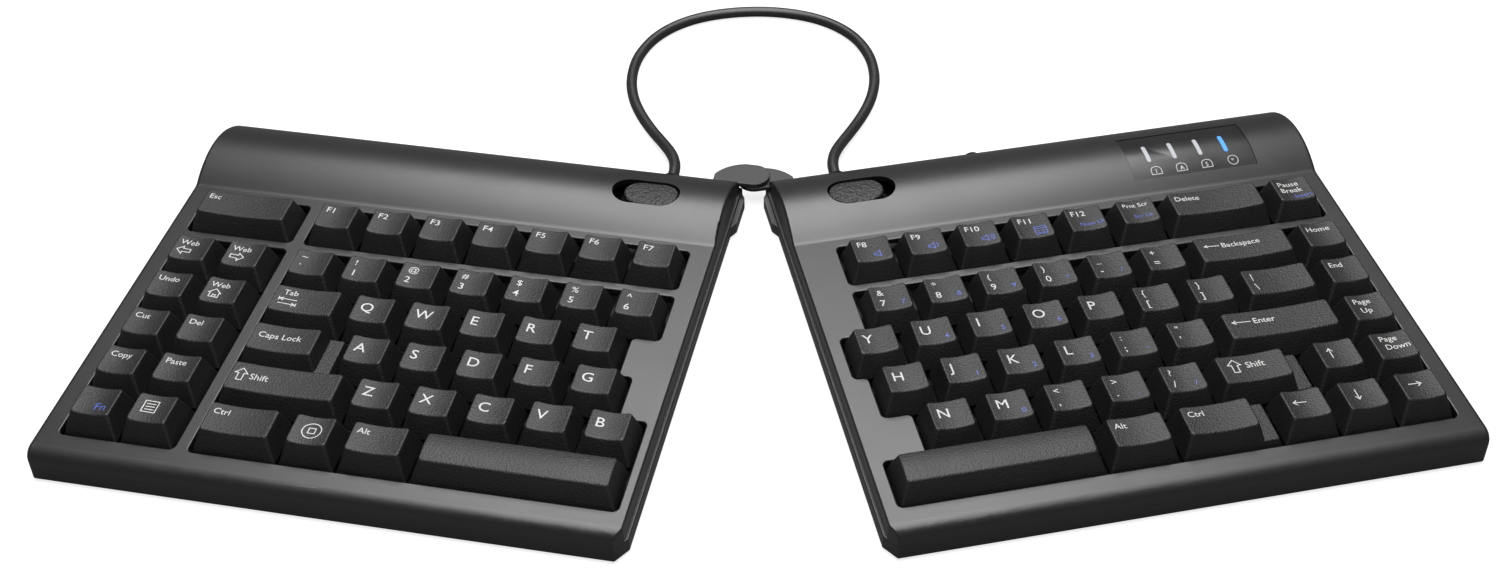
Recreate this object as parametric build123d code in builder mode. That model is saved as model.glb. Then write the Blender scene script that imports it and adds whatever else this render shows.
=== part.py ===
from build123d import *
import os
from math import cos, pi, radians, sin, sqrt, tan

# Split keyboard: two modules that turn about one tether pin, with a cord between them.
# Millimetres. +X to the right, +Y away from the typist, +Z up, desk at z = 0.
# The origin lies on the desk, midway between the modules' outermost points.

# Layout grid
pitch = 19.05                 # key spacing, one key unit
function_row_y = 25.26        # function row's centre, from the number row's centre
block_gap = 5.26              # rib between the hotkey block and the main block
row_count = 5                 # full rows below the function row

# Splay
splay_half = 11.43            # each module's turn at rest, half of the photographed splay
pin_gap = 4.58                # tether pin's axis beyond the top shell's inner wall
pin_y = 85.9                  # tether pin's axis, from the number row's centre

# Heights
foot_height = 1.5             # rubber feet, from the desk
wall = 2.0                    # moulded wall of both shells
seam_z = 6.5                  # parting line between top and bottom shell
deck_z = 13.1                 # flat deck around the keys
hump_top_z = 18.5             # crest of the hump behind the keys

# Side profile, y from the number row's centre
lip_front_y = -95.9
lip_length = 4.4
lip_brow_z = 8.8              # where the front wall starts to round over
rear_y = 82.5
hump_radius = 32.7
hump_top_y = 59.0
foot_blend = 3.0              # hollow blend at the foot of the hump
shoulder_blend = 4.0          # rounding from the hump into the rear wall

# Ends of the modules, x from the main block's left edge
left_outer_x = -51.0
left_inner_x = 141.7
right_inner_x = -14.7
right_outer_x = 178.6
outer_round = 1.5
inner_round = 0.8
ledge = 1.1                   # bottom shell stands out under the top shell's inner wall
seam_round = 0.5              # bottom shell's upper rim
corner_cut_x = 3.5            # slanted front corner on the inner side
corner_cut_y = 5.5
cheek_depth = 1.7             # swelling of the bottom shell beside the tether
cheek_start_y = 58.0
cheek_ramp = 5.0

# Key wells
well_margin = 0.4             # beyond the keys' cells
well_rear_margin = 2.9        # behind the number row
function_well_front = 0.16    # inside the function row's cells
function_well_rear = 1.7      # behind the function row's cells
well_round = 2.0
well_rim = 0.5

# Key caps
cap_gap = 1.05                # between neighbouring caps at the skirt
cap_taper_x = 5.25            # skirt width less top width
cap_taper_y = 6.0
cap_top_z = 20.0
cap_skirt_z = 11.0
cap_wall = 1.3
cap_roof = 1.8
cap_dish = 0.85
cap_crown_radius = 20.0       # across the space bars
skirt_round = 0.8
top_round = 1.3
stepped_units = 1.75          # width of the keys that have a low shelf
shelf_width = 4.8
shelf_z = 14.2
space_units = 3.5
travel = 3.5

# Switch stack
plate_thickness = 0.8         # steel backing plate
membrane_thickness = 0.4
sheet_thickness = 0.5         # rubber sheet that carries the domes
guide_thickness = 1.8
barrel_top_z = 12.5
barrel_side = 10.4
stem_side = 6.0
stem_clearance = 0.2          # each side, stem in barrel
dome_base_radius = 3.9
dome_top_radius = 2.2
dome_top_z = 8.5
dome_hole_clearance = 0.5
stem_lift = 0.3               # stem above its dome at rest
stack_front_y = -89.5
stack_rear_y = 38.5
stack_side_gap = 1.2          # stack to the shell's inside, at the ends
tail_width = 12.0             # membrane's tail, to the circuit board
tail_length = 12.0

# Stabiliser wires under wide keys
wire_radius = 0.7
wire_bar_y = 6.15
wire_tip_y = -1.0
wire_tip_z = 11.2
wire_end_inset = 7.5          # from the cell's edge to the wire's leg
wire_bend = 2.0
wire_post_side = 2.4
wire_post_lift = 0.3
wide_units = 2.0              # keys this wide or wider have a wire

# Screws and bosses
boss_radius = 2.0
boss_front_y = -91.65
boss_rear_y = 62.0
screw_radius = 1.1
screw_fit = 0.05
screw_hole_clearance = 0.3
screw_head_radius = 2.3
screw_head_height = 1.1
screw_head_clearance = 0.3
screw_length = 8.0

# Feet
foot_length = 22.0
foot_width = 9.0
foot_round = 3.0
foot_inset_x = 20.0
foot_front_y = -82.0
foot_rear_y = 70.0

# Release buttons
slot_length = 24.5
slot_width = 13.4
slot_inset = 29.1             # slot's centre from the inner wall
slot_y = 59.8
button_clearance = 0.5
button_sink = 0.35            # button's top below the hump's skin
button_travel = 3.8
flange_z = 8.0
flange_thickness = 1.4
flange_margin = 3.0
rail_thickness = 1.6
rail_spacing = 14.0
rail_length = 34.0
rail_gap = 0.3
prong_width = 5.0
prong_tip_width = 2.5
prong_y = 74.0
prong_reach = 3.4             # of the prong into the tether arm's tongue, less than the travel

# Tether
disc_radius = 5.8
arm_thickness = 1.7
arm_gap = 0.2                 # between the two discs
upper_arm_z = 8.7
arm_back = 1.6                # centre of the arm's rear edge, from the pin towards the module
arm_drop = 8.2                # the same centre, from the pin towards the typist
arm_edge = 0.35
pin_radius = 2.0
pin_clearance = 0.05
pin_cap = 0.5                 # top of the upper disc left over the pin
tongue_width = 7.0
tongue_inset = 6.2            # tongue's centre from the inner wall
tongue_front_y = 69.5
tongue_foot_z = 6.8
tongue_clearance = 0.3
tongue_lip = 0.8              # hump's skin over the tongue ends this far before it thins out
notch_clearance = 0.4

# Button springs
spring_thickness = 0.4
spring_height = 3.0
spring_length = 11.0
spring_swing = 3.0
spring_folds = 4

# Link cord and glands
cord_radius = 2.1
cord_exit_z = 5.6
cord_inset = 25.7             # exits from the inner wall
gland_radius = 3.3
gland_clearance = 0.1
gland_collar_radius = 3.8
gland_tip_radius = 3.5
gland_length = 0.6            # collar outside the rear wall
gland_depth = 1.2             # inside the rear wall
usb_x = 62.0                  # computer lead's gland on the right module
usb_bore_radius = 2.2

# Indicator panel and lights on the right module
panel_x = 134.6
panel_y = 57.0
panel_length = 46.3
panel_width = 22.2
panel_recess = 0.9
panel_skin = 0.7              # window's own thickness
panel_clearance = 0.15
bar_x = 119.2
bar_pitch = 9.7
bar_count = 4
bar_y = 57.0
bar_length = 8.4
bar_width = 1.5
bar_proud = 0.1
bar_clearance = 0.05

# Circuit boards
board_z = 6.0
board_thickness = 1.6
board_post_radius = 2.2
board_post_inset = 4.0
board_y = 56.0
controller_x = 134.0
controller_length = 62.0
controller_width = 22.0
interface_x = 52.0
interface_length = 36.0
interface_width = 18.0
chip_side = 9.0
chip_height = 1.0
connector_length = 16.0
connector_width = 4.0
connector_height = 2.6
led_side = 1.4
led_height = 0.8
led_gap = 0.3                 # from each LED to its light pipe

# Derived heights and places
base_z = foot_height
floor_z = base_z + wall
hump_centre_z = hump_top_z - hump_radius
hot_x = -2 - block_gap / pitch
membrane_z = floor_z + plate_thickness
sheet_z = membrane_z + membrane_thickness
guide_z = sheet_z + sheet_thickness
guide_top_z = guide_z + guide_thickness
stem_z = dome_top_z + stem_lift
lower_arm_z = upper_arm_z - arm_gap - arm_thickness
bore_top_z = upper_arm_z + arm_thickness - pin_cap
stack_y = (stack_front_y + stack_rear_y) / 2
stack_width = stack_rear_y - stack_front_y
button_width = slot_width - 2 * button_clearance
button_length = slot_length - 2 * button_clearance - button_travel
button_shift = button_travel / 2
arm_radius = sqrt(arm_back**2 + arm_drop**2) + disc_radius
tongue_top_z = upper_arm_z + arm_thickness

# The pin's place puts the origin midway between the front and rear corners
turn = radians(splay_half)
front_reach = (pin_y - lip_front_y) * cos(turn) - (pin_gap - ledge + corner_cut_x) * sin(turn)
rear_reach = (right_outer_x - right_inner_x + pin_gap) * sin(turn) + (rear_y - pin_y) * cos(turn)
pivot_y = (front_reach - rear_reach) / 2

os.makedirs("parts", exist_ok=True)


class Module:
    """One half of the keyboard: x runs along the rows, y to the rear, from its main block's left edge."""

    def __init__(self, name, angle, inner_x, outer_x, bosses, keys):
        self.name = name
        self.inner_x = inner_x
        self.outer_x = outer_x
        self.sense = 1 if inner_x > outer_x else -1
        self.bosses = bosses
        self.keys = keys
        pin = Vector(inner_x + self.sense * pin_gap, pin_y, 0)
        x_dir = Vector(1, 0, 0).rotate(Axis.Z, angle)
        origin = Vector(0, pivot_y, 0) - pin.rotate(Axis.Z, angle)
        self.plane = Plane(origin=origin, x_dir=x_dir, z_dir=(0, 0, 1))

    def inside(self, distance):
        """The x of a place this far in from the inner wall."""
        return self.inner_x - self.sense * distance

    def at(self, x, y, z=0):
        return self.plane.from_local_coords(Vector(x, y, z))

    def side_plane(self, x):
        """A plane square to the rows: its x is the module's y, its y is z."""
        return Plane(origin=self.at(x, 0), x_dir=self.plane.y_dir, z_dir=self.plane.x_dir)

    def rear_plane(self, y):
        """A plane parallel to the rear wall, facing the rear: its y is z."""
        return Plane(origin=self.at(0, y), x_dir=-self.plane.x_dir, z_dir=self.plane.y_dir)

    def rows_axis(self):
        return Axis(self.at(0, 0), self.plane.x_dir)


def row_y(row):
    """Centre of a row: 0 is the function row, 1 the number row."""
    return function_row_y if row == 0 else (1 - row) * pitch


def key_spots(keys):
    """Centre and width of each key, from its row, left edge and width in key units."""
    return [((left + units / 2) * pitch, row_y(row), units) for row, left, units in keys]


def run_of_keys(row, left, count):
    return [(row, left + i, 1) for i in range(count)]


left_keys = {
    "esc_key": [(0, hot_x, 2)],
    "left_function_keys": run_of_keys(0, 0, 7),
    "hotkeys": [(row, hot_x + column, 1) for row in range(1, 6) for column in (0, 1)],
    "left_number_keys": run_of_keys(1, 0, 7),
    "tab_key": [(2, 0, 1.5)],
    "left_upper_letter_keys": run_of_keys(2, 1.5, 5),
    "caps_lock_key": [(3, 0, 1.75)],
    "left_home_letter_keys": run_of_keys(3, 1.75, 5),
    "left_shift_key": [(4, 0, 2.25)],
    "left_lower_letter_keys": run_of_keys(4, 2.25, 5),
    "left_modifier_keys": [(5, 0, 1.5), (5, 1.5, 1), (5, 2.5, 1.25)],
    "left_space_key": [(5, 3.75, 3.5)],
}
right_keys = {
    "right_function_keys": run_of_keys(0, 0, 6),
    "delete_key": [(0, 6, 2)],
    "right_number_keys": run_of_keys(1, 0, 6),
    "backspace_key": [(1, 6, 2)],
    "navigation_keys": [(row, 8, 1) for row in range(5)],
    "right_upper_letter_keys": run_of_keys(2, -0.5, 7),
    "backslash_key": [(2, 6.5, 1.5)],
    "right_home_letter_keys": run_of_keys(3, -0.25, 6),
    "enter_key": [(3, 5.75, 2.25)],
    "right_lower_letter_keys": run_of_keys(4, 0.25, 5),
    "right_shift_key": [(4, 5.25, 1.75)],
    "arrow_keys": [(4, 7, 1)] + run_of_keys(5, 6, 3),
    "right_modifier_keys": [(5, 3, 1.25), (5, 4.25, 1.75)],
    "right_space_key": [(5, -0.5, 3.5)],
}
left = Module("left", -splay_half, left_inner_x, left_outer_x, (-42.0, 25.0, 84.0), left_keys)
right = Module("right", splay_half, right_inner_x, right_outer_x, (46.0, 90.0, 171.0), right_keys)
modules = (left, right)


def finish(piece, name):
    piece.part.label = name
    export_step(piece.part, f"parts/{name}.step")


def make_profile(inset):
    """The module's outline from its end, drawn in by inset from the outer skin."""
    radius = hump_radius - inset
    top = deck_z - inset
    base = base_z + inset
    front = lip_front_y + inset
    lip_centre_y = lip_front_y + lip_length
    foot = hump_top_y - sqrt(radius**2 - (top - hump_centre_z) ** 2)
    back = rear_y - inset
    tail_z = hump_centre_z + sqrt(radius**2 - (back - hump_top_y) ** 2)
    with BuildSketch() as profile:
        with BuildLine():
            EllipticalCenterArc(
                (lip_centre_y, lip_brow_z), lip_length - inset, deck_z - lip_brow_z - inset, 90, arc_size=90
            )
            Polyline((front, lip_brow_z), (front, base), (back, base), (back, tail_z))
            ThreePointArc((foot, top), (hump_top_y, hump_centre_z + radius), (back, tail_z))
            Line((lip_centre_y, top), (foot, top))
        make_face()
        if inset == 0:
            fillet(profile.vertices().sort_by_distance((foot, top))[0], foot_blend)
            fillet(profile.vertices().sort_by_distance((back, tail_z))[0], shoulder_blend)
    return profile.sketch


def module_form(module, inset=0.0, shelf=0.0):
    """A module's closed outer shape, drawn in by inset, its inner wall moved out by shelf."""
    outer_end = module.outer_x + module.sense * inset
    inner_end = module.inner_x - module.sense * (inset - shelf)
    low, high = sorted((outer_end, inner_end))
    with BuildPart() as form:
        with BuildSketch(module.side_plane(low)):
            add(make_profile(inset))
        extrude(amount=high - low)
        split(bisect_by=corner_plane(module, inset), keep=Keep.TOP)
        if inset == 0:
            faces = form.faces().sort_by(module.rows_axis())
            outer_face, *_, corner_face, inner_face = faces if module.sense > 0 else faces[::-1]
            fillet(rim_edges(outer_face), outer_round)
            fillet(rim_edges(inner_face) + rim_edges(corner_face), inner_round)
    return form.part


def corner_plane(module, inset):
    """The slanted cut over the inner front corner, facing into the module."""
    across = Vector(-module.sense * corner_cut_y, corner_cut_x, 0).normalized()
    x = module.inner_x + module.sense * ledge + across.X * inset
    y = lip_front_y + corner_cut_y + across.Y * inset
    start = module.at(x, y, 0)
    return Plane(origin=start, x_dir=(0, 0, 1), z_dir=module.at(x + across.X, y + across.Y, 0) - start)


def rim_edges(face):
    """An end face's edges, apart from the one along its base."""
    return face.edges().filter_by(lambda edge: edge.center().Z > base_z + 0.01)


def draw_wells(module):
    """Every well's outline, as rows of key cells with a margin, in one sketch."""
    cells = [key for keys in module.keys.values() for key in keys]
    for row in range(row_count + 1):
        spans = [(l * pitch, (l + u) * pitch) for r, l, u in cells if r == row]
        for in_hot_block in (True, False):
            ends = [end for span in spans for end in span if (span[0] < -pitch) == in_hot_block]
            if not ends:
                continue
            low, high = min(ends) - well_margin, max(ends) + well_margin
            front = row_y(row) - pitch / 2 - well_margin
            rear = row_y(row) + pitch / 2 + well_margin
            if row == 0:
                front = row_y(row) - pitch / 2 + function_well_front
                rear = row_y(row) + pitch / 2 + function_well_rear
            if row == 1:
                rear = row_y(row) + pitch / 2 + well_rear_margin
            with Locations(((low + high) / 2, (front + rear) / 2)):
                Rectangle(high - low, rear - front)


def make_bosses(module):
    """Screw bosses that hang from the top shell down to the floor."""
    with BuildPart() as bosses:
        with BuildSketch(module.plane.offset(floor_z)):
            with Locations(*boss_spots(module)):
                Circle(boss_radius)
                Circle(screw_radius + screw_fit, mode=Mode.SUBTRACT)
        extrude(amount=hump_top_z - floor_z)
        add(module_form(module, wall / 2), mode=Mode.INTERSECT)
    return bosses.part


def boss_spots(module):
    return [(x, y) for x in module.bosses for y in (boss_front_y, boss_rear_y)]


def slot_x(module):
    return module.inside(slot_inset)


def hump_rear_y(z):
    """Where the hump's rear slope stands at this height."""
    return hump_top_y + sqrt(hump_radius**2 - (z - hump_centre_z) ** 2)


def draw_tongue(module, front, rear, clearance=0.0):
    """The tether tongue's outline from above, between two places on y."""
    with Locations((module.inside(tongue_inset), (front + rear) / 2)):
        Rectangle(tongue_width + 2 * clearance, rear - front)


def make_top_shell(module):
    outer = module_form(module)
    inner = module_form(module, wall)
    with BuildPart() as pocket:
        if module is right:
            with BuildSketch(module.plane.offset(deck_z)):
                with Locations((panel_x, panel_y)):
                    Rectangle(panel_length, panel_width)
            extrude(amount=hump_top_z - deck_z + wall)
            add(module_form(module, panel_recess), mode=Mode.SUBTRACT)
    with BuildPart() as shell:
        add(outer)
        add(inner, mode=Mode.SUBTRACT)
        split(bisect_by=Plane.XY.offset(seam_z), keep=Keep.TOP)
        with BuildSketch(module.plane.offset(deck_z - 2 * wall)) as wells:
            draw_wells(module)
            fillet(wells.vertices(), well_round)
        extrude(amount=3 * wall, mode=Mode.SUBTRACT)
        rims = shell.edges(Select.LAST).filter_by_position(Axis.Z, deck_z - 0.01, deck_z + 0.01)
        fillet(rims, well_rim)
        with BuildSketch(module.plane.offset(seam_z + wall)):
            with Locations((slot_x(module), slot_y)):
                SlotOverall(slot_length, slot_width)
            draw_tongue(module, hump_rear_y(tongue_top_z) - tongue_lip, rear_y, tongue_clearance)
            if module is right:
                with Locations(*bar_spots()):
                    SlotOverall(bar_length + 2 * bar_clearance, bar_width + 2 * bar_clearance, rotation=90)
        extrude(amount=hump_top_z, mode=Mode.SUBTRACT)
        with BuildSketch(module.plane.offset(seam_z)):
            draw_tongue(module, tongue_front_y - tongue_clearance, rear_y, tongue_clearance)
        extrude(amount=tongue_top_z + tongue_clearance - seam_z, mode=Mode.SUBTRACT)
        if module is right:
            add(pocket.part, mode=Mode.SUBTRACT)
        extrude(gland_holes(module), amount=3 * wall, mode=Mode.SUBTRACT)
        add(make_bosses(module))
    return shell


def bar_spots():
    return [(bar_x + i * bar_pitch, bar_y) for i in range(bar_count)]


def gland_xs(module):
    return [module.inside(cord_inset)] + ([usb_x] if module is right else [])


def gland_holes(module):
    with BuildSketch(module.rear_plane(rear_y - 2 * wall)) as holes:
        with Locations(*[(-x, cord_exit_z) for x in gland_xs(module)]):
            Circle(gland_radius + gland_clearance)
    return holes.sketch


def make_bottom_shell(module):
    with BuildPart() as shell:
        add(module_form(module, 0, ledge))
        add(module_form(module, wall), mode=Mode.SUBTRACT)
        split(bisect_by=Plane.XY.offset(seam_z), keep=Keep.BOTTOM)
        seam_edges = shell.edges().filter_by_position(Axis.Z, seam_z - 0.01, seam_z + 0.01)
        fillet(seam_edges.sort_by(module.rows_axis())[-1 if module.sense > 0 else 0], seam_round)
        wall_x = module.inner_x + module.sense * (ledge - wall / 2)
        cheek_x = module.inner_x + module.sense * (ledge + cheek_depth)
        with BuildSketch(module.plane.offset(base_z)) as cheek:
            with BuildLine():
                Polyline(
                    (wall_x, cheek_start_y),
                    (cheek_x, cheek_start_y + cheek_ramp),
                    (cheek_x, rear_y - cheek_ramp),
                    (wall_x, rear_y - inner_round),
                    close=True,
                )
            make_face()
            bends = cheek.vertices().group_by(Axis.X)[-1 if module.sense > 0 else 0]
            fillet(bends, cheek_depth)
        extrude(amount=seam_z - base_z - inner_round)
        with BuildSketch(module.plane.offset(floor_z)):
            for side in (-1, 1):
                with Locations((slot_x(module), slot_y + side * rail_spacing / 2)):
                    Rectangle(rail_length, rail_thickness)
        extrude(amount=flange_z - rail_gap - floor_z)
        with BuildSketch(module.plane.offset(floor_z)):
            with Locations(*board_posts(module)):
                Circle(board_post_radius)
            with Locations((spring_post_x(module), slot_y)):
                Rectangle(rail_thickness, rail_spacing)
        extrude(amount=board_z - floor_z)
        with BuildSketch(module.plane.offset(board_z)):
            with Locations((spring_post_x(module), slot_y)):
                Rectangle(rail_thickness, rail_spacing)
        extrude(amount=flange_z + flange_thickness + spring_height - board_z)
        with BuildSketch(module.plane.offset(base_z)):
            with Locations(*boss_spots(module)):
                Circle(screw_radius + screw_hole_clearance)
        extrude(amount=wall, mode=Mode.SUBTRACT)
        with BuildSketch(module.plane.offset(base_z)):
            with Locations(*boss_spots(module)):
                Circle(screw_head_radius + screw_head_clearance)
        extrude(amount=screw_head_height + screw_head_clearance / 3, mode=Mode.SUBTRACT)
        extrude(gland_holes(module), amount=3 * wall, mode=Mode.SUBTRACT)
    return shell


def spring_post_x(module):
    flange_end = slot_inset - button_shift + button_length / 2 + flange_margin
    return module.inside(flange_end + spring_length + rail_thickness / 2)


def board_size(module):
    if module is right:
        return controller_x, controller_length, controller_width
    return interface_x, interface_length, interface_width


def board_posts(module):
    x, length, width = board_size(module)
    dx, dy = length / 2 - board_post_inset, width / 2 - board_post_inset
    return [(x + sx * dx, board_y + sy * dy) for sx in (-1, 1) for sy in (-1, 1)]


def stack_span(module):
    """Low and high x of the switch stack."""
    outer = module.outer_x + module.sense * (wall + stack_side_gap)
    inner = module.inside(wall + stack_side_gap)
    return sorted((outer, inner))


def draw_stack_outline(module):
    low, high = stack_span(module)
    with Locations(((low + high) / 2, stack_y)):
        Rectangle(high - low, stack_width)


def all_spots(module):
    return [spot for keys in module.keys.values() for spot in key_spots(keys)]


def all_centres(module):
    return [(x, y) for x, y, units in all_spots(module)]


def make_backing_plate(module):
    with BuildPart() as plate:
        with BuildSketch(module.plane.offset(floor_z)):
            draw_stack_outline(module)
        extrude(amount=plate_thickness)
    return plate


def make_membrane(module):
    board_x = board_size(module)[0]
    with BuildPart() as membrane:
        with BuildSketch(module.plane.offset(membrane_z)):
            draw_stack_outline(module)
            with Locations((board_x, stack_rear_y + tail_length / 2)):
                Rectangle(tail_width, tail_length)
        extrude(amount=membrane_thickness)
    return membrane


def make_dome_sheet(module):
    with BuildPart() as sheet:
        with BuildSketch(module.plane.offset(sheet_z)):
            draw_stack_outline(module)
        extrude(amount=sheet_thickness)
        dome_height = dome_top_z - guide_z
        with Locations(*[module.at(x, y, guide_z) for x, y in all_centres(module)]):
            Cone(
                dome_base_radius,
                dome_top_radius,
                dome_height,
                align=(Align.CENTER, Align.CENTER, Align.MIN),
            )
    return sheet


def make_guide_plate(module):
    centres = all_centres(module)
    with BuildPart() as guide:
        with BuildSketch(module.plane.offset(guide_z)):
            draw_stack_outline(module)
            with Locations(*centres):
                Circle(dome_base_radius + dome_hole_clearance, mode=Mode.SUBTRACT)
        extrude(amount=guide_thickness)
        with BuildSketch(module.plane.offset(guide_top_z)):
            bore = stem_side + 2 * stem_clearance
            with Locations(*centres):
                Rectangle(barrel_side, barrel_side)
                Rectangle(bore, bore, mode=Mode.SUBTRACT)
        extrude(amount=barrel_top_z - guide_top_z)
    return guide


def wire_reach(units):
    """Half the distance between a stabiliser wire's legs."""
    return units * pitch / 2 - wire_end_inset


def make_wires(module):
    """Stabiliser wires: a bar on the guide plate and two legs that rise to the cap's posts."""
    bar_z = guide_top_z + wire_radius
    with BuildPart() as wires:
        for x, y, units in all_spots(module):
            if units < wide_units:
                continue
            reach = wire_reach(units)
            corners = [(-reach, wire_tip_y, wire_tip_z), (-reach, wire_bar_y, bar_z)]
            corners += [(-cx, cy, cz) for cx, cy, cz in reversed(corners)]
            points = [module.at(x + cx, y + cy, cz) for cx, cy, cz in corners]
            with BuildLine() as path:
                FilletPolyline(*points, radius=wire_bend)
            with BuildSketch(Plane(origin=points[0], z_dir=points[1] - points[0])):
                Circle(wire_radius)
            sweep(path=path.wire())
    return wires


def width_at(z):
    """How much a cap has narrowed at this height, as a share of its taper."""
    return (z - cap_skirt_z) / (cap_top_z - cap_skirt_z)


def cap_section(z, width, shift, inset, corner):
    """A cap's section at height z; the outer skin is drawn in by inset."""
    share = width_at(z)
    with BuildSketch(Plane.XY.offset(z)) as section:
        with Locations((shift, 0)):
            RectangleRounded(
                width - cap_taper_x * share - 2 * inset,
                pitch - cap_gap - cap_taper_y * share - 2 * inset,
                corner,
            )
    return section.sketch


def make_cap(units):
    """A hollow key cap with its stem, centred on its cell, at rest."""
    width = units * pitch - cap_gap
    shelf = shelf_width if units == stepped_units else 0
    raised = width - shelf
    shift = -shelf / 2
    ceiling = cap_top_z - cap_roof
    top_width = raised - cap_taper_x
    with BuildPart() as cap:
        skirt = cap_section(cap_skirt_z, raised, shift, 0, skirt_round)
        loft([skirt, cap_section(cap_top_z, raised, shift, 0, top_round)])
        if units == space_units:
            with BuildSketch(Plane.YZ):
                with Locations((0, cap_top_z - cap_crown_radius)):
                    Circle(cap_crown_radius)
            extrude(amount=width, both=True, mode=Mode.INTERSECT)
        else:
            dish_radius = (top_width**2 / 4 + cap_dish**2) / (2 * cap_dish)
            with BuildSketch(Plane.XZ):
                with Locations((shift, cap_top_z - cap_dish + dish_radius)):
                    Circle(dish_radius)
            extrude(amount=pitch, both=True, mode=Mode.SUBTRACT)
        if shelf:
            skirt = cap_section(cap_skirt_z, width, 0, 0, skirt_round)
            loft([skirt, cap_section(shelf_z, width, 0, 0, skirt_round)])
            hollow = cap_section(cap_skirt_z, width, 0, cap_wall, skirt_round)
            roof = cap_section(shelf_z - cap_wall, width, 0, cap_wall, skirt_round)
            loft([hollow, roof], mode=Mode.SUBTRACT)
        hollow = cap_section(cap_skirt_z, raised, shift, cap_wall, skirt_round)
        roof = cap_section(ceiling, raised, shift, cap_wall, skirt_round)
        loft([hollow, roof], mode=Mode.SUBTRACT)
        with BuildSketch(Plane.XY.offset(stem_z)):
            Rectangle(stem_side, stem_side)
        extrude(amount=ceiling + cap_roof / 3 - stem_z)
        if units >= wide_units:
            post_z = wire_tip_z + wire_radius + wire_post_lift
            with BuildSketch(Plane.XY.offset(post_z)):
                with Locations((-wire_reach(units), wire_tip_y), (wire_reach(units), wire_tip_y)):
                    Rectangle(wire_post_side, wire_post_side)
            extrude(amount=ceiling + cap_roof / 3 - post_z)
    return cap.part


caps = {units: make_cap(units) for units in (1, 1.25, 1.5, 1.75, 2, 2.25, 3.5)}


def make_keys(module, keys):
    with BuildPart() as group:
        for x, y, units in key_spots(keys):
            with Locations(module.plane.location * Pos(x, y, 0)):
                add(caps[units])
    return group


def make_feet(module):
    front_x = (module.outer_x + module.sense * foot_inset_x, module.inside(foot_inset_x))
    with BuildPart() as feet:
        with BuildSketch(module.plane):
            with Locations(*[(x, y) for x in front_x for y in (foot_front_y, foot_rear_y)]):
                RectangleRounded(foot_length, foot_width, foot_round)
        extrude(amount=foot_height)
    return feet


def make_screws(module):
    head_z = base_z + screw_head_clearance / 3
    with BuildPart() as screws:
        with BuildSketch(module.plane.offset(head_z)):
            with Locations(*boss_spots(module)):
                Circle(screw_head_radius)
        extrude(amount=screw_head_height)
        with BuildSketch(module.plane.offset(head_z + screw_head_height)):
            with Locations(*boss_spots(module)):
                Circle(screw_radius)
        extrude(amount=screw_length)
    return screws


def button_x(module):
    """The release button's centre at rest, near the slot's inner end."""
    return module.inside(slot_inset - button_shift)


def make_release_button(module):
    x = button_x(module)
    prong_tip = tongue_inset + tongue_width / 2 - prong_reach
    prong_root = slot_inset - button_shift - button_length / 2 - flange_margin
    with BuildPart() as button:
        with BuildSketch(module.plane.offset(flange_z)):
            with Locations((x, slot_y)):
                SlotOverall(button_length, button_width)
        extrude(amount=hump_top_z - flange_z)
        add(module_form(module, button_sink), mode=Mode.INTERSECT)
        with BuildSketch(module.plane.offset(flange_z)):
            flange_width = rail_spacing + 2 * rail_thickness
            with Locations((x, slot_y)):
                Rectangle(button_length + 2 * flange_margin, flange_width)
            prong_x = module.inside((prong_root + prong_width + prong_tip) / 2)
            with Locations((prong_x, prong_y)):
                Rectangle(prong_root + prong_width - prong_tip, prong_tip_width)
            with Locations((module.inside(prong_root + prong_width / 2), (prong_y + slot_y) / 2)):
                Rectangle(prong_width, prong_y - slot_y + prong_tip_width)
        extrude(amount=flange_thickness)
    return button


def make_spring(module):
    """A folded leaf between the button's outer end and its post."""
    start = slot_inset - button_shift + button_length / 2 + flange_margin
    step = spring_length / spring_folds
    with BuildPart() as spring:
        with BuildSketch(module.plane.offset(flange_z)):
            with BuildLine():
                points = []
                for i in range(spring_folds + 1):
                    side = spring_swing if i % 2 else -spring_swing
                    points.append((module.inside(start + i * step), slot_y + side))
                inset = spring_thickness * module.sense
                points[0] = (points[0][0] - inset, points[0][1])
                points[-1] = (points[-1][0] + inset, points[-1][1])
                Polyline(*points)
                offset(amount=spring_thickness / 2, side=Side.BOTH)
            make_face()
        extrude(amount=spring_height)
    return spring


def make_gland(module, x, bored=False):
    """A rubber grommet: a plug in the rear wall with a low collar outside."""
    centre = (-x, cord_exit_z)
    with BuildPart() as gland:
        with BuildSketch(module.rear_plane(rear_y - wall - gland_depth)):
            with Locations(centre):
                Circle(gland_radius)
        extrude(amount=wall + gland_depth)
        with BuildSketch(module.rear_plane(rear_y)):
            with Locations(centre):
                Circle(gland_collar_radius)
        with BuildSketch(module.rear_plane(rear_y + gland_length)):
            with Locations(centre):
                Circle(gland_tip_radius)
        loft()
        if bored:
            with BuildSketch(module.rear_plane(rear_y - wall - gland_depth)):
                with Locations(centre):
                    Circle(usb_bore_radius)
            extrude(amount=wall + gland_depth + gland_length, mode=Mode.SUBTRACT)
    return gland


def make_board(module):
    x, length, width = board_size(module)
    top_z = board_z + board_thickness
    with BuildPart() as board:
        with BuildSketch(module.plane.offset(board_z)):
            with Locations((x, board_y)):
                Rectangle(length, width)
        extrude(amount=board_thickness)
        with BuildSketch(module.plane.offset(top_z)):
            with Locations((x + length / 4, board_y - width / 6)):
                Rectangle(chip_side, chip_side)
        extrude(amount=chip_height)
        with BuildSketch(module.plane.offset(top_z)):
            with Locations((x - length / 4, board_y - width / 2 + connector_width / 2)):
                Rectangle(connector_length, connector_width)
        extrude(amount=connector_height)
        if module is right:
            with BuildSketch(module.plane.offset(top_z)):
                with Locations(*bar_spots()):
                    Rectangle(led_side, led_side)
            extrude(amount=led_height)
    return board


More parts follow.
